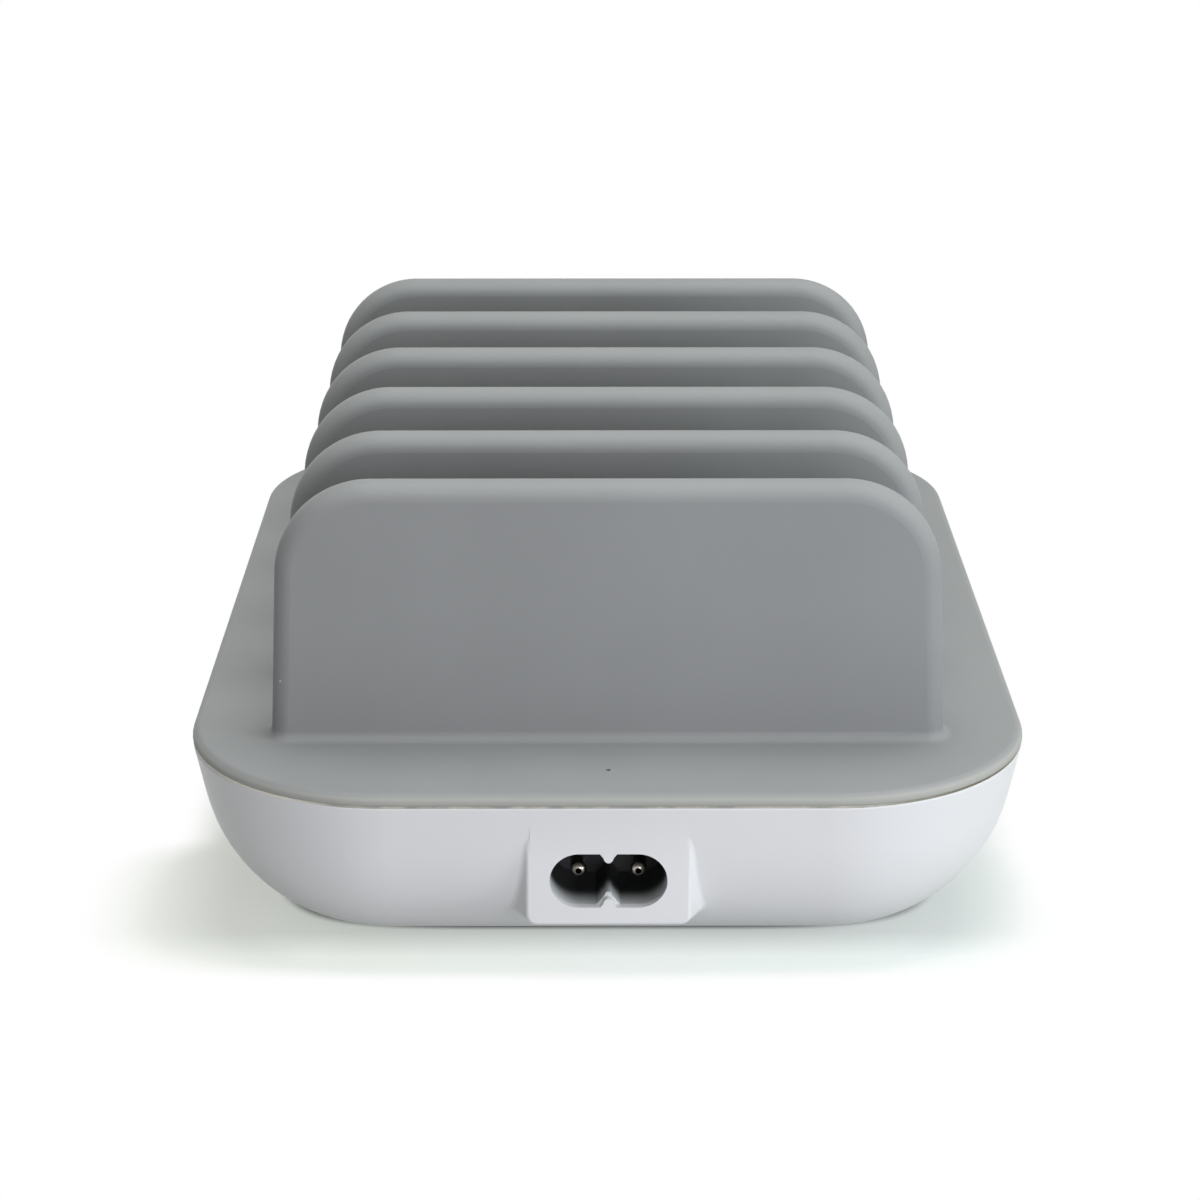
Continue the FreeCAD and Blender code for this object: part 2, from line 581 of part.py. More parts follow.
def fin(y, low, shrink):
    """Upright blade that tapers to its crest, with rounded top corners and edges, shrunk all round."""
    def section(z):
        share = (z - COVER_TOP) / FIN_HEIGHT
        half_width = (FIN_BASE_WIDTH + share * (FIN_TOP_WIDTH - FIN_BASE_WIDTH)) / 2 - shrink
        half_thick = (FIN_BASE_THICKNESS + share * (FIN_TOP_THICKNESS - FIN_BASE_THICKNESS)) / 2 - shrink
        corners = [(-1, -1), (1, -1), (1, 1), (-1, 1), (-1, -1)]
        return Part.makePolygon([Vector(sx * half_width, y + sy * half_thick, z) for sx, sy in corners])

    crest = FIN_CREST - shrink
    solid = Part.makeLoft([section(low), section(crest)], True, True)
    shoulders = [e for e in solid.Edges if lies_at(e, "z", crest) and e.BoundBox.YLength > e.BoundBox.XLength]
    solid = solid.makeFillet(FIN_CORNER_RADIUS - shrink, shoulders)
    broad = sorted(solid.Faces, key=lambda f: f.Area)[-2:]
    edges = [e for f in broad for e in f.Edges if not lies_at(e, "z", low)]
    return solid.makeFillet(CREST_ROUND_SHARE * (FIN_TOP_THICKNESS - 2 * shrink), edges)


def deck_frame():
    """Hard deck inside the rim, with a stiffening blade for each fin and four screw bosses below."""
    half_width = HALF_WIDTH - DECK_INSET
    half_length = HALF_LENGTH - DECK_INSET
    plate = rounded_rectangle(half_width, half_length, CORNER_RADIUS - DECK_INSET, DECK_BOTTOM)
    plate = plate.extrude(Vector(0, 0, DECK_THICKNESS))
    shapes = [plate]
    shapes += [fin(y, DECK_BOTTOM, FIN_SKIN + SKIN_CLEARANCE) for y in FIN_PLACES]
    shapes += [column(x, y, BOSS_TOP, DECK_BOTTOM, DECK_BOSS_RADIUS) for x, y in SCREW_PLACES]
    deck = fuse_all(shapes)
    for x, y in SCREW_PLACES:
        hole_top = SCREW_SEAT + SCREW_LENGTH + SKIN_CLEARANCE
        deck = deck.cut(column(x, y, BOSS_TOP - CUT_OVERRUN, hole_top, SCREW_RADIUS + SKIN_CLEARANCE))
    radius = LED_RADIUS + SKIN_CLEARANCE
    return deck.cut(column(0, PINHOLE_Y, DECK_BOTTOM - CUT_OVERRUN, DECK_TOP + CUT_OVERRUN, radius))


def rack_cover():
    """Soft grey cover: a thin plate over the deck with six hollow fins, filleted at their feet."""
    plate = rounded_rectangle(HALF_WIDTH, HALF_LENGTH, CORNER_RADIUS, DECK_TOP)
    plate = plate.extrude(Vector(0, 0, COVER_TOP - DECK_TOP))
    plate = plate.makeFillet(COVER_EDGE_ROUND, [e for e in plate.Edges if lies_at(e, "z", COVER_TOP)])
    plate = plate.makeFillet(RIM_ROUND, [e for e in plate.Edges if lies_at(e, "z", DECK_TOP)])
    cover = fuse_all([plate] + [fin(y, DECK_TOP, 0) for y in FIN_PLACES])
    rim_y = HALF_LENGTH - COVER_EDGE_ROUND - CUT_OVERRUN
    half = FIN_BASE_WIDTH / 2 + CUT_OVERRUN
    feet = [e for e in cover.Edges if lies_at(e, "z", COVER_TOP) and abs(e.CenterOfMass.y) < rim_y]
    feet = [e for e in feet if max(abs(e.BoundBox.XMin), abs(e.BoundBox.XMax)) < half]
    cover = cover.makeFillet(FIN_FOOT_FILLET, feet)
    for y in FIN_PLACES:
        cover = cover.cut(fin(y, DECK_TOP - CUT_OVERRUN, FIN_SKIN))
    return cover.cut(column(0, PINHOLE_Y, DECK_TOP - CUT_OVERRUN, COVER_TOP + CUT_OVERRUN, PINHOLE_RADIUS))


def screw(x, y, seat, head_radius, head_height, radius, length, up):
    """Slotted pan screw. Its head's bearing face is at seat, and its shank runs up or down from there."""
    shank = column(x, y, min(seat, seat + up * length), max(seat, seat + up * length), radius)
    head = column(x, y, min(seat, seat - up * head_height), max(seat, seat - up * head_height), head_radius)
    outer = seat - up * head_height
    inner = outer + up * SCREW_SLOT_DEPTH * head_height / SCREW_HEAD_HEIGHT
    half_width = SCREW_SLOT_WIDTH / 2
    half_length = SCREW_SLOT_LENGTH / 2 * head_radius / SCREW_HEAD_RADIUS
    low, high = min(outer, inner), max(outer, inner)
    solid = fuse_all([shank, head])
    for reach_x, reach_y in ((half_length, half_width), (half_width, half_length)):
        solid = solid.cut(block(x - reach_x, x + reach_x, y - reach_y, y + reach_y, low, high))
    return solid


def case_screws():
    """Four screws from below that clamp the case to the deck."""
    size = (SCREW_HEAD_RADIUS, SCREW_HEAD_HEIGHT, SCREW_RADIUS, SCREW_LENGTH)
    return Part.makeCompound([screw(x, y, SCREW_SEAT, *size, 1) for x, y in SCREW_PLACES])


def board_screws(places, top):
    """Small screws that hold a board to its posts."""
    length = BOARD_SCREW_LENGTH + BOARD_THICKNESS
    size = (BOARD_SCREW_HEAD_RADIUS, BOARD_SCREW_HEAD_HEIGHT, POST_HOLE_RADIUS, length)
    return Part.makeCompound([screw(x, y, top, *size, -1) for x, y in places])


def inlet_housing():
    """Black inlet body behind the pad, with the recess and the pins' bores."""
    half = HOUSING_WIDTH / 2
    low = INLET_Z - HOUSING_HEIGHT / 2
    body = block(-half, half, -HOUSING_FRONT, -HOUSING_REAR, low, low + HOUSING_HEIGHT)
    recess_end = INLET_FACE - INLET_DEPTH
    key = (HOUSING_KEY_ROOT, HOUSING_KEY_TIP, HOUSING_KEY_HEIGHT)
    body = body.cut(inlet_opening(HOUSING_FRONT + CUT_OVERRUN, recess_end, *key))
    for side in (-1, 1):
        x = side * INLET_PIN_SPACING / 2
        start = Vector(x, -recess_end - CUT_OVERRUN, INLET_Z)
        end = Vector(x, -HOUSING_REAR + CUT_OVERRUN, INLET_Z)
        body = body.cut(rod(start, end, INLET_PIN_RADIUS))
    return body


def inlet_pin(side):
    """Round pin with a domed, bored tip, running back through the housing to a leg in the board."""
    x = side * INLET_PIN_SPACING / 2
    tip_y = -(INLET_FACE - INLET_PIN_SETBACK)
    tail_y = -HOUSING_REAR + INLET_PIN_TAIL
    dome_y = tip_y + INLET_PIN_RADIUS
    bar = rod(Vector(x, dome_y, INLET_Z), Vector(x, tail_y, INLET_Z), INLET_PIN_RADIUS)
    dome = Part.makeSphere(INLET_PIN_RADIUS, Vector(x, dome_y, INLET_Z))
    leg = column(x, leg_y(), POWER_BOARD_BOTTOM - LEG_PROUD, INLET_Z, INLET_LEG_RADIUS)
    bore_end = tip_y + INLET_PIN_BORE_DEPTH
    bore = rod(Vector(x, tip_y - CUT_OVERRUN, INLET_Z), Vector(x, bore_end, INLET_Z), INLET_PIN_BORE_RADIUS)
    return fuse_all([bar, dome, leg]).cut(bore)


def leg_y():
    """Place of the pins' legs behind the housing."""
    return -HOUSING_REAR + INLET_PIN_TAIL / 2


def power_board():
    """Supply board on four posts, with holes for the screws and the pins' legs."""
    half = POWER_BOARD_WIDTH / 2
    ends = (POWER_BOARD_FRONT, POWER_BOARD_REAR)
    board = block(-half, half, *ends, POWER_BOARD_BOTTOM, POWER_BOARD_TOP)
    holes = [(x, y, POST_HOLE_RADIUS + SKIN_CLEARANCE) for x, y in power_posts()]
    holes += [(side * INLET_PIN_SPACING / 2, leg_y(), INLET_LEG_RADIUS + LEG_CLEARANCE) for side in (-1, 1)]
    low = POWER_BOARD_BOTTOM - CUT_OVERRUN
    high = POWER_BOARD_TOP + CUT_OVERRUN
    for x, y, radius in holes:
        board = board.cut(column(x, y, low, high, radius))
    return board


def insulation_sheet():
    """Insulating sheet on the floor under the supply board, cut out round the posts."""
    half = POWER_BOARD_WIDTH / 2
    front = -(FLAT_HALF_LENGTH - SHEET_MARGIN)
    sheet = block(-half, half, front, POWER_BOARD_REAR, FLOOR_TOP, FLOOR_TOP + SHEET_THICKNESS)
    for x, y in power_posts():
        radius = POST_RADIUS + FIT_CLEARANCE
        sheet = sheet.cut(column(x, y, FLOOR_TOP - CUT_OVERRUN, FLOOR_TOP + CUT_OVERRUN, radius))
    return sheet


def boxed_part(place, size):
    """Box-shaped electronic part on the supply board, with softened upright edges."""
    x, y = place
    wide, deep, tall = size
    top = POWER_BOARD_TOP + tall
    solid = block(x - wide / 2, x + wide / 2, y - deep / 2, y + deep / 2, POWER_BOARD_TOP, top)
    return solid.makeFillet(PART_EDGE_ROUND, [e for e in solid.Edges if not lies_at(e, "z", POWER_BOARD_TOP)])


def choke_core():
    """Ferrite ring of the mains choke, held off the board by its windings."""
    x, y = CHOKE_PLACE
    low = POWER_BOARD_TOP + CHOKE_WIRE
    ring = column(x, y, low, low + CHOKE_CORE_HEIGHT, CHOKE_RADIUS)
    return ring.cut(column(x, y, low - CUT_OVERRUN, low + CHOKE_CORE_HEIGHT + CUT_OVERRUN, CHOKE_HOLE_RADIUS))


def choke_windings():
    """Two wound halves round the ferrite ring."""
    x, y = CHOKE_PLACE
    low = POWER_BOARD_TOP
    height = CHOKE_CORE_HEIGHT + 2 * CHOKE_WIRE
    halves = []
    for start in (-CHOKE_WINDING_ANGLE / 2, HALF_TURN - CHOKE_WINDING_ANGLE / 2):
        sector = Part.makeCylinder(CHOKE_RADIUS + CHOKE_WIRE, height, ORIGIN, Z_AXIS, CHOKE_WINDING_ANGLE)
        sector.rotate(ORIGIN, Z_AXIS, start)
        sector.translate(Vector(x, y, low))
        hole = column(x, y, low - CUT_OVERRUN, low + height + CUT_OVERRUN, CHOKE_HOLE_RADIUS - CHOKE_WIRE)
        sector = sector.cut(hole)
        halves.append(sector.cut(choke_core()))
    return Part.makeCompound(halves)


def bulk_capacitor(place):
    """Mains smoothing capacitor lying on the board."""
    x, y = place
    z = POWER_BOARD_TOP + BULK_RADIUS
    can = rod(Vector(x, y - BULK_LENGTH / 2, z), Vector(x, y + BULK_LENGTH / 2, z), BULK_RADIUS)
    return can.makeFillet(BULK_ROUND, [e for e in can.Edges if e.BoundBox.YLength < BULK_ROUND])


def heatsink(place):
    """Bent plate: an upright wall against the part it cools at that place, and a foot on the board behind."""
    wide, thick, tall = HEATSINK_SIZE
    left = place[0] - wide / 2
    near = place[1] + TRANSISTOR_SIZE[1] / 2
    top = POWER_BOARD_TOP + tall
    wall = block(left, left + wide, near, near + thick, POWER_BOARD_TOP, top)
    flange = block(left, left + wide, near, near + HEATSINK_FLANGE, POWER_BOARD_TOP, POWER_BOARD_TOP + thick)
    return fuse_all([wall, flange])


def transformer():
    """Core, bobbin and winding of a low transformer lying flat: name to solid."""
    x, y = TRANSFORMER_PLACE
    window_x = CORE_WIDTH / 2 - CORE_LEG
    window_y = CORE_LENGTH / 2 - CORE_YOKE
    core_low = POWER_BOARD_TOP + BOBBIN_BASE
    core_high = core_low + CORE_HEIGHT
    half_x = CORE_WIDTH / 2
    half_y = CORE_LENGTH / 2
    core = block(x - half_x, x + half_x, y - half_y, y + half_y, core_low, core_high)
    for side in (-1, 1):
        edges = sorted((x + side * window_x, x + side * CORE_CENTRE_LEG / 2))
        window = block(*edges, y - window_y, y + window_y, core_low - CUT_OVERRUN, core_high + CUT_OVERRUN)
        core = core.cut(window)
    leg = CORE_CENTRE_LEG / 2 + FIT_CLEARANCE
    tube = leg + BOBBIN_WALL
    reach = window_y - FIT_CLEARANCE
    low = core_low - FIT_CLEARANCE
    high = core_high + FIT_CLEARANCE
    flange_x = window_x - FIT_CLEARANCE
    bobbin = block(x - tube, x + tube, y - reach, y + reach, low - BOBBIN_WALL, high + BOBBIN_WALL)
    for side in (-1, 1):
        ends = sorted((y + side * reach, y + side * (reach - BOBBIN_WALL)))
        bobbin = bobbin.fuse(block(x - flange_x, x + flange_x, *ends, low - BOBBIN_WALL, high + BOBBIN_WALL))
    base = block(x - half_x, x + half_x, y - reach, y + reach, POWER_BOARD_TOP, low - BOBBIN_WALL)
    bobbin = fuse_all([bobbin, base])
    bobbin = bobbin.cut(block(x - leg, x + leg, y - CORE_LENGTH / 2, y + CORE_LENGTH / 2, low, high))
    wound = reach - BOBBIN_WALL - FIT_CLEARANCE
    outer = flange_x - WINDING_GAP
    under = low - BOBBIN_WALL
    over = high + BOBBIN_WALL + FIT_CLEARANCE
    winding = block(x - outer, x + outer, y - wound, y + wound, under, high + WINDING_BULGE)
    inside = tube + FIT_CLEARANCE
    winding = winding.cut(block(x - inside, x + inside, y - reach, y + reach, low - CUT_OVERRUN, over))
    return {"transformer_core": core, "transformer_bobbin": bobbin, "transformer_winding": winding}


def safety_capacitor():
    """Disc capacitor standing on edge."""
    x, y = DISC_PLACE
    z = POWER_BOARD_TOP + DISC_RADIUS
    return rod(Vector(x - DISC_THICKNESS / 2, y, z), Vector(x + DISC_THICKNESS / 2, y, z), DISC_RADIUS)


def output_capacitors():
    """Row of upright output capacitors from the board's left edge."""
    cans = []
    for i in range(OUTPUT_CAPACITOR_COUNT):
        x = BOARD_LEFT + OUTPUT_CAPACITOR_RADIUS + i * OUTPUT_CAPACITOR_PITCH
        top = POWER_BOARD_TOP + OUTPUT_CAPACITOR_HEIGHT
        can = column(x, CAPACITOR_ROW, POWER_BOARD_TOP, top, OUTPUT_CAPACITOR_RADIUS)
        cans.append(can.makeFillet(OUTPUT_CAPACITOR_ROUND, [e for e in can.Edges if lies_at(e, "z", top)]))
    return Part.makeCompound(cans)


def usb_board():
    """Outlet board behind the right wall, with holes for its screws, the shield legs and the case bosses."""
    half = USB_BOARD_HALF
    board = block(USB_BOARD_INNER, USB_BOARD_OUTER, -half, half, USB_BOARD_BOTTOM, USB_BOARD_TOP)
    outer = [e for e in board.Edges if lies_at(e, "x", USB_BOARD_OUTER)]
    board = board.makeFillet(USB_BOARD_CORNER, [e for e in outer if lies_at(e, "y", e.CenterOfMass.y)])
    low = USB_BOARD_BOTTOM - CUT_OVERRUN
    high = USB_BOARD_TOP + CUT_OVERRUN
    holes = [(x, y, POST_HOLE_RADIUS + SKIN_CLEARANCE) for x, y in usb_posts()]
    holes += [(x, y, BOSS_RADIUS + FIT_CLEARANCE) for x, y in SCREW_PLACES]
    for x, y, radius in holes:
        board = board.cut(column(x, y, low, high, radius))
    for y in PORT_PLACES:
        for leg in shield_legs(y):
            box = leg.BoundBox
            box.enlarge(LEG_CLEARANCE)
            board = board.cut(block(box.XMin, box.XMax, box.YMin, box.YMax, low, high))
    return board


def shield_legs(y):
    """The two legs of one outlet's shield, down through the board."""
    x = PORT_FRONT - SHIELD_LEG_SETBACK
    half = SHIELD_LEG_WIDTH / 2
    low = USB_BOARD_BOTTOM - LEG_PROUD
    top = PORT_BOTTOM + PORT_HEIGHT / 2
    legs = []
    for side in (-1, 1):
        faces = sorted((y + side * PORT_WIDTH / 2, y + side * (PORT_WIDTH / 2 - PORT_METAL)))
        legs.append(block(x - half, x + half, *faces, low, top))
    return legs


def usb_shell(y):
    """Metal shield of one outlet: an open tube with two legs."""
    half = PORT_WIDTH / 2
    top = PORT_BOTTOM + PORT_HEIGHT
    tube = block(PORT_REAR, PORT_FRONT, y - half, y + half, PORT_BOTTOM, top)
    tube = tube.makeFillet(PORT_CORNER_ROUND, [e for e in tube.Edges if e.BoundBox.XLength > PORT_DEPTH / 2])
    wall = PORT_METAL
    rear = PORT_REAR - CUT_OVERRUN
    front = PORT_FRONT + CUT_OVERRUN
    hollow = block(rear, front, y - half + wall, y + half - wall, PORT_BOTTOM + wall, top - wall)
    inner_round = PORT_CORNER_ROUND - PORT_METAL
    hollow = hollow.makeFillet(inner_round, [e for e in hollow.Edges if e.BoundBox.XLength > PORT_DEPTH / 2])
    return fuse_all([tube] + shield_legs(y)).cut(hollow)


def usb_tongue(y):
    """Plastic base at the back of one outlet, with the tongue that carries its contacts."""
    half = PORT_WIDTH / 2 - PORT_METAL - SKIN_CLEARANCE
    low = PORT_BOTTOM + PORT_METAL + SKIN_CLEARANCE
    high = PORT_BOTTOM + PORT_HEIGHT - PORT_METAL - SKIN_CLEARANCE
    base_front = PORT_REAR + PORT_BASE_DEPTH
    base = block(PORT_REAR, base_front, y - half, y + half, low, high)
    inner_round = PORT_CORNER_ROUND - PORT_METAL
    base = base.makeFillet(inner_round, [e for e in base.Edges if e.BoundBox.XLength > PORT_BASE_DEPTH / 2])
    top = high - TONGUE_DROP
    tongue_half = TONGUE_WIDTH / 2
    front = base_front + TONGUE_LENGTH
    tongue = block(base_front, front, y - tongue_half, y + tongue_half, top - TONGUE_THICKNESS, top)
    return fuse_all([base, tongue])


def usb_contacts():
    """Four gold strips under the tongue of every outlet."""
    top = PORT_BOTTOM + PORT_HEIGHT - PORT_METAL - SKIN_CLEARANCE - TONGUE_DROP - TONGUE_THICKNESS
    base_front = PORT_REAR + PORT_BASE_DEPTH
    strips = []
    for y in PORT_PLACES:
        for i in range(CONTACT_COUNT):
            middle = y + (i - (CONTACT_COUNT - 1) / 2) * CONTACT_PITCH
            half = CONTACT_WIDTH / 2
            end = base_front + CONTACT_LENGTH
            strips.append(block(base_front, end, middle - half, middle + half, top - CONTACT_THICKNESS, top))
    return Part.makeCompound(strips)


def port_chips():
    """Charging controllers on the outlet board, in the gaps between the outlets on the inlet side."""
    x = PORT_FRONT - SHIELD_LEG_SETBACK
    wide, deep, tall = PORT_CHIP_SIZE
    top = USB_BOARD_TOP + tall
    chips = []
    for y in GAP_PLACES[:len(GAP_PLACES) // 2]:
        chips.append(block(x - wide / 2, x + wide / 2, y - deep / 2, y + deep / 2, USB_BOARD_TOP, top))
    return Part.makeCompound(chips)


def bent_wire(points, bend, radius):
    """Round wire along straight runs joined by tangent arcs of one bend radius."""
    edges = []
    start = points[0]
    for before, corner, after in zip(points, points[1:], points[2:]):
        back = (before - corner).normalize()
        ahead = (after - corner).normalize()
        half_turn = back.getAngle(ahead) / 2
        trim = bend / math.tan(half_turn)
        middle = (back + ahead).normalize()
        depth = bend / math.sin(half_turn) - bend
        first = corner + back * trim
        last = corner + ahead * trim
        edges.append(Part.makeLine(start, first))
        edges.append(Part.Arc(first, corner + middle * depth, last).toShape())
        start = last
    edges.append(Part.makeLine(start, points[-1]))
    path = Part.Wire(edges)
    section = Part.Wire([Part.makeCircle(radius, points[0], points[1] - points[0])])
    return path.makePipeShell([section], True, False)


def dc_lead(rank):
    """Supply wire that arches from the power board to the outlet board, in a gap between two outlets."""
    y = GAP_PLACES[len(GAP_PLACES) // 2] + (rank - 1 / 2) * DC_LEAD_PITCH
    start_x = POWER_BOARD_WIDTH / 2 - DC_LEAD_INSET
    end_x = PORT_FRONT - SHIELD_LEG_SETBACK
    top = USB_BOARD_TOP + DC_LEAD_RISE
    points = [
        Vector(start_x, y, POWER_BOARD_TOP),
        Vector(start_x, y, top),
        Vector(end_x, y, top),
        Vector(end_x, y, USB_BOARD_TOP),
    ]
    return bent_wire(points, DC_LEAD_BEND, DC_LEAD_RADIUS)


def indicator_led():
    """Small lamp pressed up into the deck under the pinhole, with its flange below the deck."""
    low = DECK_TOP - LED_LENGTH
    body = column(0, PINHOLE_Y, low, DECK_TOP - LED_RADIUS, LED_RADIUS)
    centre = Vector(0, PINHOLE_Y, DECK_TOP - LED_RADIUS)
    dome = Part.makeSphere(LED_RADIUS, centre, Z_AXIS, 0, QUARTER_TURN)
    flange = column(0, PINHOLE_Y, low, DECK_BOTTOM, LED_FLANGE_RADIUS)
    return fuse_all([body, dome, flange])


def led_leads():
    """Two fine wires from the lamp, back over the inlet, and down to the board behind the pins' tails."""
    low = DECK_TOP - LED_LENGTH
    run = (low + INLET_Z + HOUSING_HEIGHT / 2) / 2
    rear = ROW_START - PART_GAP / 2
    wires = []
    for side in (-1, 1):
        x = side * LED_LEAD_PITCH / 2
        route = ((PINHOLE_Y, low), (PINHOLE_Y, run), (rear, run), (rear, POWER_BOARD_TOP))
        points = [Vector(x, y, z) for y, z in route]
        wires.append(bent_wire(points, LED_LEAD_BEND_SHARE * (low - run), LED_LEAD_RADIUS))
    return Part.makeCompound(wires)


def main():
    os.makedirs("parts", exist_ok=True)
    export("lower_shell", lower_shell())
    export("deck_frame", deck_frame())
    export("rack_cover", rack_cover())
    for name, (x, y) in foot_places().items():
        export(name, foot(x, y))
    export("case_screws", case_screws())
    export("inlet_housing", inlet_housing())
    export("inlet_pin_left", inlet_pin(-1))
    export("inlet_pin_right", inlet_pin(1))
    export("power_board", power_board())
    export("power_board_screws", board_screws(power_posts(), POWER_BOARD_TOP))
    export("insulation_sheet", insulation_sheet())
    export("mains_fuse", boxed_part(FUSE_PLACE, FUSE_SIZE))
    export("suppression_capacitor", boxed_part(FILM_CAPACITOR_PLACE, FILM_CAPACITOR_SIZE))
    export("choke_core", choke_core())
    export("choke_windings", choke_windings())
    export("bridge_rectifier", boxed_part(BRIDGE_PLACE, BRIDGE_SIZE))
    for i, place in enumerate(BULK_PLACES):
        export("bulk_capacitor_" + str(i + 1), bulk_capacitor(place))
    export("switching_transistor", boxed_part(TRANSISTOR_PLACE, TRANSISTOR_SIZE))
    export("primary_heatsink", heatsink(TRANSISTOR_PLACE))
    for name, shape in transformer().items():
        export(name, shape)
    export("safety_capacitor", safety_capacitor())
    export("optocoupler", boxed_part(OPTOCOUPLER_PLACE, OPTOCOUPLER_SIZE))
    export("controller_chip", boxed_part(CHIP_PLACE, CHIP_SIZE))
    export("output_rectifier", boxed_part(RECTIFIER_PLACE, TRANSISTOR_SIZE))
    export("output_heatsink", heatsink(RECTIFIER_PLACE))
    export("output_capacitors", output_capacitors())
    export("usb_board", usb_board())
    export("usb_board_screws", board_screws(usb_posts(), USB_BOARD_TOP))
    for i, y in enumerate(PORT_PLACES):
        export("usb_shell_" + str(i + 1), usb_shell(y))
        export("usb_tongue_" + str(i + 1), usb_tongue(y))
    export("usb_contacts", usb_contacts())
    export("port_chips", port_chips())
    export("dc_lead_positive", dc_lead(0))
    export("dc_lead_negative", dc_lead(1))
    export("indicator_led", indicator_led())
    export("led_leads", led_leads())


main()
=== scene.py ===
"""Looks of the charging station organizer: finishes of its case, soft rack, mains inlet and outlets, with
the studio that it stands in. Sizes are named in millimetres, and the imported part's frame is in metres."""
import json
import math
import bpy
import numpy as np
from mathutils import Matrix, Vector


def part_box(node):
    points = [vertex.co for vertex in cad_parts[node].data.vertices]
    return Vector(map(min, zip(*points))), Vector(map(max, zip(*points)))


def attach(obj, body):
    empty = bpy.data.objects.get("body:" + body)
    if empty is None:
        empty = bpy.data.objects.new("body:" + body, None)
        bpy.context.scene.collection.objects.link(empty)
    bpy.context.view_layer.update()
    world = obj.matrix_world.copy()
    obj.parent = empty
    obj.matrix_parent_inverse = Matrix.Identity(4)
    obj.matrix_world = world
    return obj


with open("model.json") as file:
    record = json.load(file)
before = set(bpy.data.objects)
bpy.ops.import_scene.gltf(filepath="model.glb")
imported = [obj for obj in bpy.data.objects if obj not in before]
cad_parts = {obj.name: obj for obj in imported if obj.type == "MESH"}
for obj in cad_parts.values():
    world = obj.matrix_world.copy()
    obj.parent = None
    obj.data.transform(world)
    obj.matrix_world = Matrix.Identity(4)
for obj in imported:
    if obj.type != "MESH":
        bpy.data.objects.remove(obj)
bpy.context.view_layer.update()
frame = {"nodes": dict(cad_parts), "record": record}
MM = 0.001

# Camera, fitted to the outlines of the case and fins
IMAGE_SIDE = 1200
CAMERA_FOCAL_PIXELS = 3030.0
SENSOR_MM = 36.0
CAMERA_PLACE_MM = (-2.26, -479.4, 199.54)
CAMERA_PITCH_DEG = 19.45
CAMERA_YAW_RAD = -0.00264

# Lamps: place, width of the lamp's disc, light that it throws on the middle of the part, tint.
# The dull lamp gives no sheen to the surfaces that it grazes.
LAMP_AIM_MM = (0.0, 0.0, 50.0)
LAMPS = {
    "overhead_lamp": ((57.0, -45.0, 560.0), 420.0, 2.55, "FDFFFD"),
    "front_lamp": ((169.0, -519.0, 126.0), 295.0, 1.10, "F8F5FF"),
    "side_lamp": ((472.0, -272.0, 126.0), 295.0, 1.00, "F3FCFC"),
    "back_lamp": ((-150.0, 540.0, 40.0), 75.0, 1.40, "FFFFFF"),
}
DULL_LAMP = "back_lamp"

# Surround: its tint, the light that it throws, and how bright the eye sees it
SURROUND_TINT = "FFFFFF"
AMBIENT = 0.23
BACKGROUND = 1.0

# Table top: how it looks, how much it throws back at the part, and the light that it shows of its own. That
# light grows over a stretch before the case, less so towards the sides, and its tint turns along X.
TABLE_HALF_MM = 4000.0
TABLE_TONE = "BABCBA"
TABLE_BOUNCE = "A8AAA8"
TABLE_GLOW = 0.44
TABLE_FRONT_GLOW = 0.20
TABLE_FRONT_MM = (-65.0, -73.0)
TABLE_FRONT_SIDE_MM = (45.0, 66.0)
TABLE_FRONT_SIDE_SHARE = 0.3
TABLE_TINTS = ("F9FCF1", "F7FFFA", "F0FBFA")
TABLE_TINT_HALF_MM = 75.0

# Patches of the table: middle, half sizes, power of the outline, and the share of it where the edge runs
SHADE_BEFORE_CASE = ((-6.0, -54.0), (74.0, 27.5), 4.0, (0.83, 1.03))
SHADE_UNDER_CASE = ((-1.0, 0.0), (66.0, 77.0), 7.0, (0.90, 1.04))
CONTACT_SHADE = ((0.0, 0.0), (52.0, 62.7), 6.0, (0.995, 1.03))

# Seam between the shell and the cover, and where along X its bead turns cream as painted light or dark as
# painted shade
SEAM_CORNER_MM = 30.065
SEAM_HEIGHT_MM = 29.60
SEAM_BEAD_INSET_MM = 0.235
SEAM_BEAD_RADIUS_MM = 0.22
SEAM_PAINTED_LIGHT_MM = (-38.0, -46.0)
SEAM_PAINTED_SHADE_MM = (34.0, 50.0)
SEAM_CORNER_STEPS = 40
SEAM_ROUND_STEPS = 10

# Rim of the cover: height of the cover's top, and the depths below it between which its rounded edge is
# painted paler, as painted light
COVER_TOP_MM = 31.40
COVER_RIM_PAINTED_LIGHT_DEPTHS_MM = (0.12, 0.70)
COVER_RIM_PAINTED_LIGHT_MM = [COVER_TOP_MM - depth for depth in COVER_RIM_PAINTED_LIGHT_DEPTHS_MM]

# Painted shade in the cover's crevices: how far off a wall counts as near, and how dark a closed corner is
# painted
CREVICE_MM = 22.0
CREVICE_PAINTED_SHADE = 0.34

# Mains inlet: the front face of its housing, how deep in from the mouth painted light pales it, fading to
# painted shade further in, and how strongly at the mouth
INLET_MOUTH_MM = -84.0
INLET_PAINTED_LIGHT_DEPTH_MM = 5.4
INLET_PAINTED_LIGHT_MM = (INLET_MOUTH_MM + INLET_PAINTED_LIGHT_DEPTH_MM, INLET_MOUTH_MM)
INLET_PAINTED_LIGHT_MOST = 0.95

# Mains pins: places of their axes beside the middle and above the table, the directions across them, their
# bored tips, and the shares of the bore's radius where the painted shade in the bore begins and is full
PIN_AXIS_MM = (4.3, 0.0, 17.8)
PIN_ACROSS = (1.0, 0.0, 1.0)
PIN_BORE_MM = 0.42
PIN_BORE_SHADE_SHARES = (1.15, 1.02)

# Patterns: the spans of the noise over which tone and gloss drift, and how finely patches and grain break
PATCH_TONE_SPAN = (0.35, 0.65)
PATCH_GLOSS_SPAN = (0.3, 0.7)
PATCH_DETAIL = 3.0
GRAIN_DETAIL = 2.0
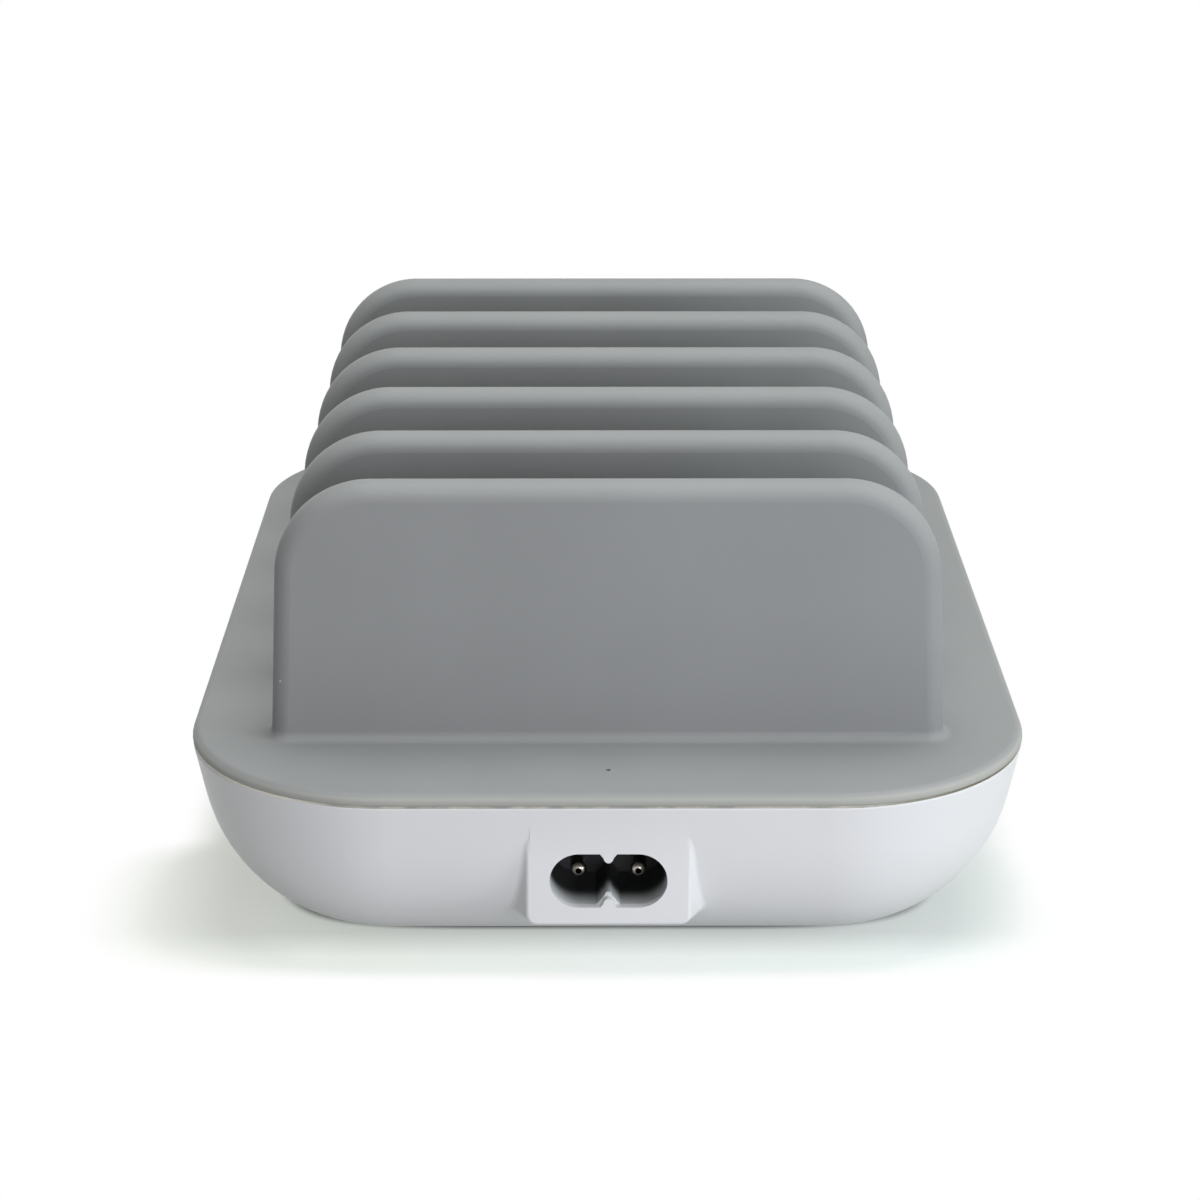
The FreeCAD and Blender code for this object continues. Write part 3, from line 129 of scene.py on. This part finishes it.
# Core of a speck as a share of its radius, length of the Wave texture's wave at scale one, wander of fine
# lines, and spacing of the laminate's threads
SPECK_CORE_SHARE = 0.6
WAVE_LENGTH = 0.314
LINE_WANDER = 0.4
WEAVE_PITCH_MM = 0.6
EVEN = (1.0, 1.0, 1.0)

# Sockets of the colour Mix node, which shares its names between kinds of value
MIX_FACTOR, MIX_FIRST, MIX_SECOND, MIX_RESULT = 0, 6, 7, 2


def linear(hex_colour):
    """Linear RGBA of an sRGB hex colour: a straight part near black, then a power of 2.4."""
    channels = [int(hex_colour[i:i + 2], 16) / 255 for i in (0, 2, 4)]
    lit = [c / 12.92 if c <= 0.04045 else ((c + 0.055) / 1.055) ** 2.4 for c in channels]
    return (*lit, 1.0)


def add_node(tree, kind, inputs=None, **settings):
    """Adds one shader node. Settings are its own properties, and each input is a value or a socket to
    link."""
    node = tree.nodes.new("ShaderNode" + kind)
    for name, value in settings.items():
        setattr(node, name, value)
    for name, value in (inputs or {}).items():
        if isinstance(value, bpy.types.NodeSocket):
            tree.links.new(value, node.inputs[name])
        else:
            node.inputs[name].default_value = value
    return node


def new_material(name):
    """Empty node material with its output node."""
    material = bpy.data.materials.new(name)
    material.use_nodes = True
    material.node_tree.nodes.clear()
    return material, material.node_tree, add_node(material.node_tree, "OutputMaterial")


def set_ramp(ramp, places, tones):
    """Puts tones at places on a colour ramp."""
    elements = ramp.color_ramp.elements
    while len(elements) < len(tones):
        elements.new(1.0)
    for element, place, tone in zip(elements, places, tones):
        element.position = place
        element.color = linear(tone)


def surface(name, tones, roughness, patch_mm, relief, depth_mm, stretch=EVEN, marks=(), **sockets):
    """One finish. Its colour drifts between two near tones in patches, its gloss drifts with them, and a
    relief lifts the surface by the depth. Marks, each a share and a tone, are laid over the colour in turn.
    Stretch draws the patches and the relief out along an axis where its factor is small."""
    material, tree, output = new_material(name)
    place = add_node(tree, "TexCoord").outputs["Object"]
    drawn = add_node(tree, "Mapping", {"Vector": place, "Scale": stretch}).outputs["Vector"]
    patches = add_node(tree, "TexNoise", {
        "Vector": drawn, "Scale": 1 / (patch_mm * MM), "Detail": PATCH_DETAIL,
    }).outputs["Fac"]
    drift = add_node(tree, "ValToRGB", {"Fac": patches})
    set_ramp(drift, PATCH_TONE_SPAN, tones)
    colour = drift.outputs["Color"]
    for mark in marks:
        share, tone = mark(tree, place)
        laid = add_node(tree, "Mix", {
            MIX_FACTOR: share, MIX_FIRST: colour, MIX_SECOND: linear(tone),
        }, data_type="RGBA")
        colour = laid.outputs[MIX_RESULT]
    gloss = add_node(tree, "MapRange", {
        "Value": patches, "From Min": PATCH_GLOSS_SPAN[0], "From Max": PATCH_GLOSS_SPAN[1],
        "To Min": roughness[0], "To Max": roughness[1],
    })
    lift = add_node(tree, "Bump", {
        "Height": relief(tree, drawn), "Distance": depth_mm * MM, "Strength": 1.0,
    })
    shader = add_node(tree, "BsdfPrincipled", {
        "Base Color": colour, "Roughness": gloss.outputs["Result"], "Normal": lift.outputs["Normal"],
    } | sockets)
    tree.links.new(shader.outputs["BSDF"], output.inputs["Surface"])
    return material


def grain(size_mm):
    """Relief of a fine even grain."""
    def relief(tree, place):
        noise = add_node(tree, "TexNoise", {
            "Vector": place, "Scale": 1 / (size_mm * MM), "Detail": GRAIN_DETAIL,
        })
        return noise.outputs["Fac"]
    return relief


def fine_lines(pitch_mm, axis):
    """Relief of even fine lines that follow each other along one axis."""
    def relief(tree, place):
        wave = add_node(tree, "TexWave", {
            "Vector": place, "Scale": WAVE_LENGTH / (pitch_mm * MM), "Distortion": LINE_WANDER,
        }, bands_direction=axis)
        return wave.outputs["Fac"]
    return relief


def glass_weave(tree, place):
    """Relief of the laminate's woven glass: the larger of two crossing sets of threads."""
    threads = [fine_lines(WEAVE_PITCH_MM, axis)(tree, place) for axis in ("X", "Y")]
    return add_node(tree, "Math", {0: threads[0], 1: threads[1]}, operation="MAXIMUM").outputs["Value"]


def specks(tone, spacing_mm, radius_mm):
    """Sparse dots: a small ball round each seed of a cell pattern, seen where the surface cuts it."""
    def mark(tree, place):
        cells = add_node(tree, "TexVoronoi", {"Vector": place, "Scale": 1 / (spacing_mm * MM)})
        edge = radius_mm / spacing_mm
        dot = add_node(tree, "MapRange", {
            "Value": cells.outputs["Distance"], "From Min": edge, "From Max": SPECK_CORE_SHARE * edge,
        })
        return dot.outputs["Result"], tone
    return mark


def fade_in(tone, axis, run_mm, most=1.0, ease="LINEAR"):
    """A tone that comes in along one axis, from none where the run starts to its most where it ends."""
    def mark(tree, place):
        along = add_node(tree, "SeparateXYZ", {"Vector": place}).outputs[axis]
        share = add_node(tree, "MapRange", {
            "Value": along, "From Min": run_mm[0] * MM, "From Max": run_mm[1] * MM, "To Max": most,
        }, interpolation_type=ease)
        return share.outputs["Result"], tone
    return mark


def crevice_painted_shade(tree, place):
    """Painted shade between the fins and at their feet, darker where less of the surroundings is open."""
    near = add_node(tree, "AmbientOcclusion", {"Distance": CREVICE_MM * MM}, only_local=True)
    painted_shade = add_node(tree, "MapRange", {"Value": near.outputs["AO"], "To Min": CREVICE_PAINTED_SHADE, "To Max": 0.0})
    return painted_shade.outputs["Result"], "505150"


def pin_bore_painted_shade(tree, place):
    """Painted shade inside the pins' bored tips: dark within the bore's radius of either pin's axis."""
    axis = [value * MM for value in PIN_AXIS_MM]
    start, full = (share * PIN_BORE_MM * MM for share in PIN_BORE_SHADE_SHARES)
    beside = add_node(tree, "VectorMath", {0: place}, operation="ABSOLUTE").outputs["Vector"]
    off = add_node(tree, "VectorMath", {0: beside, 1: axis}, operation="SUBTRACT").outputs["Vector"]
    across = add_node(tree, "VectorMath", {0: off, 1: PIN_ACROSS}, operation="MULTIPLY").outputs["Vector"]
    radius = add_node(tree, "VectorMath", {0: across}, operation="LENGTH").outputs["Value"]
    inside = add_node(tree, "MapRange", {"Value": radius, "From Min": start, "From Max": full})
    return inside.outputs["Result"], "100E0C"


METAL = {"Metallic": 1.0}
PLASTIC = {"IOR": 1.53}
RESIN = {"IOR": 1.56}
VINYL = {"IOR": 1.54}
POLYESTER = {"IOR": 1.6}

# Each finish by its slot: what the real one is and how it was made, and what that gives the eye. The values
# are two tones, least and most roughness, size of the patches, relief and its depth, in millimetres.
FINISHES = {
    # Soft-touch rubber from a spark-eroded mould: dull, with a faint bloom, a little lint, painted shade in
    # its crevices and a rim painted paler as painted light. The grain is about six times as coarse as the
    # real one, so that it shows.
    "grey_elastomer": surface(
        "elastomer_soft_touch_spark_textured", ("8C8E8E", "909292"), (0.66, 0.74), 22.0, grain(0.35), 0.006,
        marks=(specks("C9CAC8", 17.0, 0.28), specks("4A4B4B", 21.0, 0.24),
               fade_in("A3A49F", "Z", COVER_RIM_PAINTED_LIGHT_MM, ease="SMOOTHSTEP"), crevice_painted_shade),
        **{"IOR": 1.5, "Specular IOR Level": 0.4, "Sheen Weight": 0.05, "Sheen Roughness": 0.5}),
    # Satin white ABS: smooth and faintly cool, with soft broad reflections and a rare dark fleck
    "white_shell": surface(
        "abs_white_satin_moulded", ("E3E4E5", "E5E6E7"), (0.34, 0.40), 30.0, grain(6.0), 0.004,
        marks=(specks("8C8C92", 19.0, 0.22),), **PLASTIC, **{"Specular IOR Level": 0.2}),
    # Dark deck under the cover, dull as moulded
    "black_abs": surface(
        "abs_black_moulded", ("1B1C1C", "222323"), (0.48, 0.58), 8.0, grain(0.4), 0.008, **PLASTIC),
    # Silicone feet: dull, a little uneven, picking up dust
    "foot_rubber": surface(
        "silicone_rubber_moulded", ("6E7072", "7A7C7D"), (0.70, 0.85), 2.5, grain(0.3), 0.02,
        marks=(specks("A5A5A0", 3.0, 0.12),), **{"IOR": 1.42}),
    # Zinc plate with a clear passivation: grey metal with a faint blue and straw bloom
    "zinc_steel": surface(
        "steel_zinc_plated_passivated", ("AEB3BA", "C4C1B6"), (0.30, 0.46), 1.6, grain(0.15), 0.004,
        **METAL),
    # Inlet housing: near-black nylon with a soft gloss, painted paler towards its mouth as painted light
    # that fades into painted shade deeper in
    "black_nylon": surface(
        "nylon_black_moulded", ("090C0D", "101415"), (0.38, 0.48), 4.0, grain(0.4), 0.006,
        marks=(fade_in("D4D8D8", "Y", INLET_PAINTED_LIGHT_MM, INLET_PAINTED_LIGHT_MOST, "SMOOTHERSTEP"),), **PLASTIC),
    # Turned and nickel-plated brass pins: warm metal with fine rings round the pin, its tone darkened as
    # painted shade of the recess that it mirrors, and painted shade in the bored tips
    "nickel_brass": surface(
        "brass_turned_nickel_plated", ("9A948A", "A8A298"), (0.18, 0.28), 1.5, fine_lines(0.18, "Y"), 0.002,
        marks=(pin_bore_painted_shade,), **METAL),
    # Board: green solder mask over woven glass, glossy with the weave just telling through
    "board_laminate": surface(
        "glass_epoxy_solder_masked", ("1F5A35", "27683F"), (0.22, 0.32), 6.0, glass_weave, 0.01, **RESIN),
    # Insulation sheet: milky polyester film with a slight waviness
    "insulation_film": surface(
        "polyester_film_milky", ("C9CBC4", "D6D8D1"), (0.30, 0.42), 14.0, grain(5.0), 0.05, **POLYESTER),
    # Transfer-moulded epoxy of chips and holders: dull black with a sugary grain
    "black_resin": surface(
        "epoxy_black_transfer_moulded", ("191A1B", "232425"), (0.55, 0.68), 2.0, grain(0.12), 0.012,
        **RESIN),
    # Box of the film capacitor: yellow polypropylene, slightly waxy
    "yellow_resin": surface(
        "polypropylene_yellow_moulded", ("D9A91E", "E4B52B"), (0.38, 0.48), 4.0, grain(0.5), 0.008,
        **{"IOR": 1.49}),
    # Dipped disc capacitor: glossy blue epoxy with the orange peel of a dip
    "blue_resin": surface(
        "epoxy_blue_dipped", ("1E4F9C", "2A5FB0"), (0.12, 0.20), 2.2, grain(1.1), 0.04, **RESIN),
    # Sintered ferrite: charcoal grey, dull, with open pores
    "ferrite": surface(
        "ferrite_sintered_ground", ("2C2D2F", "3A3B3D"), (0.60, 0.75), 1.2, grain(0.2), 0.02,
        marks=(specks("18191A", 0.9, 0.2),), **{"IOR": 2.0}),
    # Enamelled winding wire: reddish copper under clear varnish, ribbed turn by turn
    "enamelled_copper": surface(
        "copper_enamelled_wound", ("A5532B", "B9663A"), (0.22, 0.32), 1.4, fine_lines(0.7, "Z"), 0.03,
        **METAL),
    # Shrunk sleeve over an aluminium can: deep blue-black vinyl with a soft shine
    "capacitor_sleeve": surface(
        "vinyl_sleeve_heat_shrunk", ("20242F", "2A2F3C"), (0.26, 0.36), 5.0, grain(0.8), 0.01, **VINYL),
    # Mill-finish extrusion: pale grey metal with long drawing lines up its height
    "bare_aluminium": surface(
        "aluminium_extruded_mill_finish", ("B9BBBD", "CDCFD0"), (0.28, 0.42), 1.0, grain(0.25), 0.008,
        stretch=(1.0, 1.0, 0.05), **METAL),
    # Wound polyester tape: amber, slightly glossy, stepped where each turn overlaps the last
    "winding_tape": surface(
        "polyester_tape_wound", ("C79A2C", "D6AA3C"), (0.22, 0.34), 5.0, fine_lines(4.0, "Z"), 0.02,
        **POLYESTER),
    # Stamped and nickel-plated outlet shields: bright cool metal with long faint draw marks
    "nickel_shield": surface(
        "steel_stamped_nickel_plated", ("C3C4C5", "D5D6D6"), (0.18, 0.30), 2.4, grain(0.2), 0.003,
        stretch=(0.12, 1.0, 1.0), **METAL),
    # Outlet tongues: natural white nylon, a little creamy
    "white_nylon": surface(
        "nylon_natural_moulded", ("DDDCD4", "E6E5DE"), (0.36, 0.46), 2.0, grain(0.3), 0.006, **PLASTIC),
    # Gold flash over spring bronze: warm yellow metal, finely rolled along the spring
    "gold_contacts": surface(
        "bronze_gold_flashed", ("D9AE52", "E6C068"), (0.16, 0.26), 0.8, grain(0.1), 0.002,
        stretch=(0.15, 1.0, 1.0), **METAL),
    # Vinyl wire insulation in red and in black: smooth and slightly waxy
    "red_wire": surface(
        "vinyl_red_extruded", ("A81F1C", "B92823"), (0.32, 0.42), 6.0, grain(0.8), 0.006, **VINYL),
    "black_wire": surface(
        "vinyl_black_extruded", ("151516", "1E1E1F"), (0.32, 0.42), 6.0, grain(0.8), 0.006, **VINYL),
    # Cast lens of the indicator lamp: water-clear epoxy with a faint casting ripple
    "clear_lens": surface(
        "epoxy_clear_cast", ("F1F4F2", "F8FAF8"), (0.05, 0.10), 1.5, grain(0.6), 0.003,
        **RESIN, **{"Transmission Weight": 0.9}),
    # Solder-tinned lamp leads: soft silver grey, dulled along their length
    "tinned_wire": surface(
        "copper_hot_tinned", ("B5B6B6", "C9C9C8"), (0.26, 0.40), 1.2, grain(0.15), 0.004, **METAL),
}

# Line of hot-melt in the seam: an olive-grey thread, slightly glossy, uneven along its run. At the left
# corners it is painted cream as painted light, and at the right ones darker olive as painted shade of the
# seam's gap.
SEAM_FINISH = surface(
    "hot_melt_laid", ("9C9B92", "C4C2B6"), (0.30, 0.45), 3.0, grain(0.6), 0.02,
    marks=(fade_in("F4F0E2", "X", SEAM_PAINTED_LIGHT_MM), fade_in("68634E", "X", SEAM_PAINTED_SHADE_MM)), **{"IOR": 1.48})


def dress_nodes():
    """Gives every node of the part the finish of its slot."""
    for subpart in frame["record"]["subparts"]:
        node = frame["nodes"][subpart["node"]]
        node.data.materials.clear()
        node.data.materials.append(FINISHES[subpart["material_slot"]])


def add_surface(name, points, material):
    """Makes a mesh from a grid of points that closes on itself both ways: each face joins a point to its
    next neighbours along the rows and the columns."""
    rows, columns = points.shape[:2]
    index = np.arange(rows * columns).reshape(rows, columns)
    ahead = np.roll(index, -1, axis=0)
    faces = np.stack([index, ahead, np.roll(ahead, -1, axis=1), np.roll(index, -1, axis=1)], axis=-1)
    mesh = bpy.data.meshes.new(name)
    mesh.from_pydata(points.reshape(-1, 3).tolist(), [], faces.reshape(-1, 4).tolist())
    mesh.shade_smooth()
    mesh.materials.append(material)
    piece = bpy.data.objects.new(name, mesh)
    bpy.context.scene.collection.objects.link(piece)
    return piece


def seam_bead():
    """Thin bead in the seam, a small circle carried round the case's outline: each point is a corner's
    centre plus the corner radius and the circle's outward part along the turn, at the circle's height."""
    low, high = (np.array(corner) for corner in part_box("lower_shell"))
    half = (high - low)[:2] / 2 / MM - SEAM_CORNER_MM
    quarter = np.linspace(0, math.pi / 2, SEAM_CORNER_STEPS)
    turn = (np.arange(4)[:, None] * math.pi / 2 + quarter).reshape(-1, 1)
    centre_x = np.repeat([1, -1, -1, 1], SEAM_CORNER_STEPS)[:, None] * half[0]
    centre_y = np.repeat([1, 1, -1, -1], SEAM_CORNER_STEPS)[:, None] * half[1]
    spin = np.linspace(0, 2 * math.pi, SEAM_ROUND_STEPS, endpoint=False)[None, :]
    reach = SEAM_CORNER_MM - SEAM_BEAD_INSET_MM + SEAM_BEAD_RADIUS_MM * np.cos(spin)
    height = SEAM_HEIGHT_MM + SEAM_BEAD_RADIUS_MM * np.sin(spin) + 0 * turn
    points = np.stack([centre_x + reach * np.cos(turn), centre_y + reach * np.sin(turn), height], axis=-1)
    piece = add_surface("seam_bead", points * MM, SEAM_FINISH)
    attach(piece, "root")


def seen_rays(tree):
    """One for the rays that carry what the eye sees of the surroundings: direct, mirrored or through
    glass."""
    rays = add_node(tree, "LightPath").outputs
    seen = rays["Is Camera Ray"]
    for kind in ("Is Glossy Ray", "Is Transmission Ray"):
        seen = add_node(tree, "Math", {0: seen, 1: rays[kind]}, operation="MAXIMUM").outputs["Value"]
    return seen


def patch_edge(tree, place, patch):
    """Zero within a patch of the table and one beyond it: a smooth step of the outline's norm, which is the
    root of the summed powers of the place over the patch's half sizes."""
    middle, half, power, edge = patch
    powers = []
    for axis, centre, size in zip(("X", "Y"), middle, half):
        off = add_node(tree, "Math", {0: place[axis], 1: centre * MM}, operation="SUBTRACT")
        off = off.outputs["Value"]
        share = add_node(tree, "Math", {0: off, 1: size * MM}, operation="DIVIDE").outputs["Value"]
        share = add_node(tree, "Math", {0: share}, operation="ABSOLUTE").outputs["Value"]
        powers.append(add_node(tree, "Math", {0: share, 1: power}, operation="POWER").outputs["Value"])
    total = add_node(tree, "Math", {0: powers[0], 1: powers[1]}, operation="ADD").outputs["Value"]
    reach = add_node(tree, "Math", {0: total, 1: 1 / power}, operation="POWER").outputs["Value"]
    return add_node(tree, "MapRange", {"Value": reach, "From Min": edge[0], "From Max": edge[1]},
                    interpolation_type="SMOOTHSTEP").outputs["Result"]


def table_glow(tree, place):
    """Light that the table shows of its own: a little more before the case, less of that towards the sides,
    and none where the case stands."""
    front = add_node(tree, "MapRange", {
        "Value": place["Y"], "From Min": TABLE_FRONT_MM[0] * MM, "From Max": TABLE_FRONT_MM[1] * MM,
        "To Max": TABLE_FRONT_GLOW,
    }).outputs["Result"]
    beside = add_node(tree, "Math", {0: place["X"]}, operation="ABSOLUTE").outputs["Value"]
    side = add_node(tree, "MapRange", {
        "Value": beside, "From Min": TABLE_FRONT_SIDE_MM[0] * MM, "From Max": TABLE_FRONT_SIDE_MM[1] * MM,
        "To Min": 1.0, "To Max": TABLE_FRONT_SIDE_SHARE,
    }).outputs["Result"]
    more = add_node(tree, "Math", {0: front, 1: side}, operation="MULTIPLY").outputs["Value"]
    glow = add_node(tree, "Math", {0: more, 1: TABLE_GLOW}, operation="ADD").outputs["Value"]
    clear = patch_edge(tree, place, CONTACT_SHADE)
    return add_node(tree, "Math", {0: glow, 1: clear}, operation="MULTIPLY").outputs["Value"]


def table_tint(tree, place):
    """Tint of the table's own light, which turns from warm at the left to cool on the lamps' side along
    X."""
    along = add_node(tree, "MapRange", {
        "Value": place["X"], "From Min": -TABLE_TINT_HALF_MM * MM, "From Max": TABLE_TINT_HALF_MM * MM,
    }).outputs["Result"]
    tint = add_node(tree, "ValToRGB", {"Fac": along})
    set_ramp(tint, np.linspace(0, 1, len(TABLE_TINTS)), TABLE_TINTS)
    return tint.outputs["Color"]


def table_paint():
    """Matt paint of the table top: the eye sees it lit and glowing within its patches and white beyond
    them, and the part gets a dimmer light back from it."""
    material, tree, output = new_material("painted_table_top_matt")
    place = add_node(tree, "SeparateXYZ", {"Vector": add_node(tree, "TexCoord").outputs["Object"]}).outputs
    paint = add_node(tree, "BsdfDiffuse", {"Color": linear(TABLE_TONE)}).outputs["BSDF"]
    bounce = add_node(tree, "BsdfDiffuse", {"Color": linear(TABLE_BOUNCE)}).outputs["BSDF"]
    glow = add_node(tree, "Emission", {
        "Color": table_tint(tree, place), "Strength": table_glow(tree, place),
    }).outputs["Emission"]
    lit = add_node(tree, "AddShader", {0: paint, 1: glow}).outputs["Shader"]
    white = add_node(tree, "Emission", {"Strength": BACKGROUND}).outputs["Emission"]
    edges = [patch_edge(tree, place, patch) for patch in (SHADE_BEFORE_CASE, SHADE_UNDER_CASE)]
    fade = add_node(tree, "Math", {0: edges[0], 1: edges[1]}, operation="MULTIPLY").outputs["Value"]
    shown = add_node(tree, "MixShader", {0: fade, 1: lit, 2: white}).outputs["Shader"]
    shader = add_node(tree, "MixShader", {0: seen_rays(tree), 1: bounce, 2: shown}).outputs["Shader"]
    tree.links.new(shader, output.inputs["Surface"])
    return material


def studio_table():
    """Flat table top, wide enough to fill the view."""
    half = TABLE_HALF_MM * MM
    corners = [(-half, -half, 0), (half, -half, 0), (half, half, 0), (-half, half, 0)]
    mesh = bpy.data.meshes.new("studio_table")
    mesh.from_pydata(corners, [], [(0, 1, 2, 3)])
    mesh.materials.append(table_paint())
    table = bpy.data.objects.new("studio_table", mesh)
    bpy.context.scene.collection.objects.link(table)


def studio_lamps():
    """Soft disc lamps from above, from low in front, from the outlets' side and from low behind. A disc's
    power is pi times the light wanted at the aim, times the squared distance plus the disc's squared
    radius."""
    aim = Vector(LAMP_AIM_MM) * MM
    for name, (place, disc, strength, tint) in LAMPS.items():
        light = bpy.data.lights.new(name, "AREA")
        light.shape = "DISK"
        light.size = disc * MM
        light.color = linear(tint)[:3]
        lamp = bpy.data.objects.new(name, light)
        lamp.location = Vector(place) * MM
        away = lamp.location - aim
        light.energy = strength * math.pi * (away.length_squared + (light.size / 2) ** 2)
        lamp.rotation_euler = away.to_track_quat("Z", "Y").to_euler()
        lamp.visible_glossy = name != DULL_LAMP
        bpy.context.scene.collection.objects.link(lamp)


def studio_surround():
    """Dim surround that shows white to the eye."""
    world = bpy.data.worlds.new("studio_surround")
    bpy.context.scene.world = world
    world.use_nodes = True
    tree = world.node_tree
    tree.nodes.clear()
    tint = linear(SURROUND_TINT)
    dim, white = (
        add_node(tree, "Background", {"Color": tint, "Strength": level}).outputs["Background"]
        for level in (AMBIENT, BACKGROUND))
    shader = add_node(tree, "MixShader", {0: seen_rays(tree), 1: dim, 2: white}).outputs["Shader"]
    output = add_node(tree, "OutputWorld")
    tree.links.new(shader, output.inputs["Surface"])


def photo_camera():
    """Camera at the photograph's viewing angle."""
    camera = bpy.data.cameras.new("photo_camera")
    camera.sensor_width = SENSOR_MM
    camera.lens = CAMERA_FOCAL_PIXELS / IMAGE_SIDE * SENSOR_MM
    camera.clip_start = MM
    viewer = bpy.data.objects.new("photo_camera", camera)
    viewer.location = [place * MM for place in CAMERA_PLACE_MM]
    viewer.rotation_euler = (math.radians(90 - CAMERA_PITCH_DEG), 0, CAMERA_YAW_RAD)
    bpy.context.scene.collection.objects.link(viewer)
    bpy.context.scene.camera = viewer


dress_nodes()
seam_bead()
studio_table()
studio_lamps()
studio_surround()
photo_camera()
bpy.context.scene.view_settings.view_transform = "Standard"
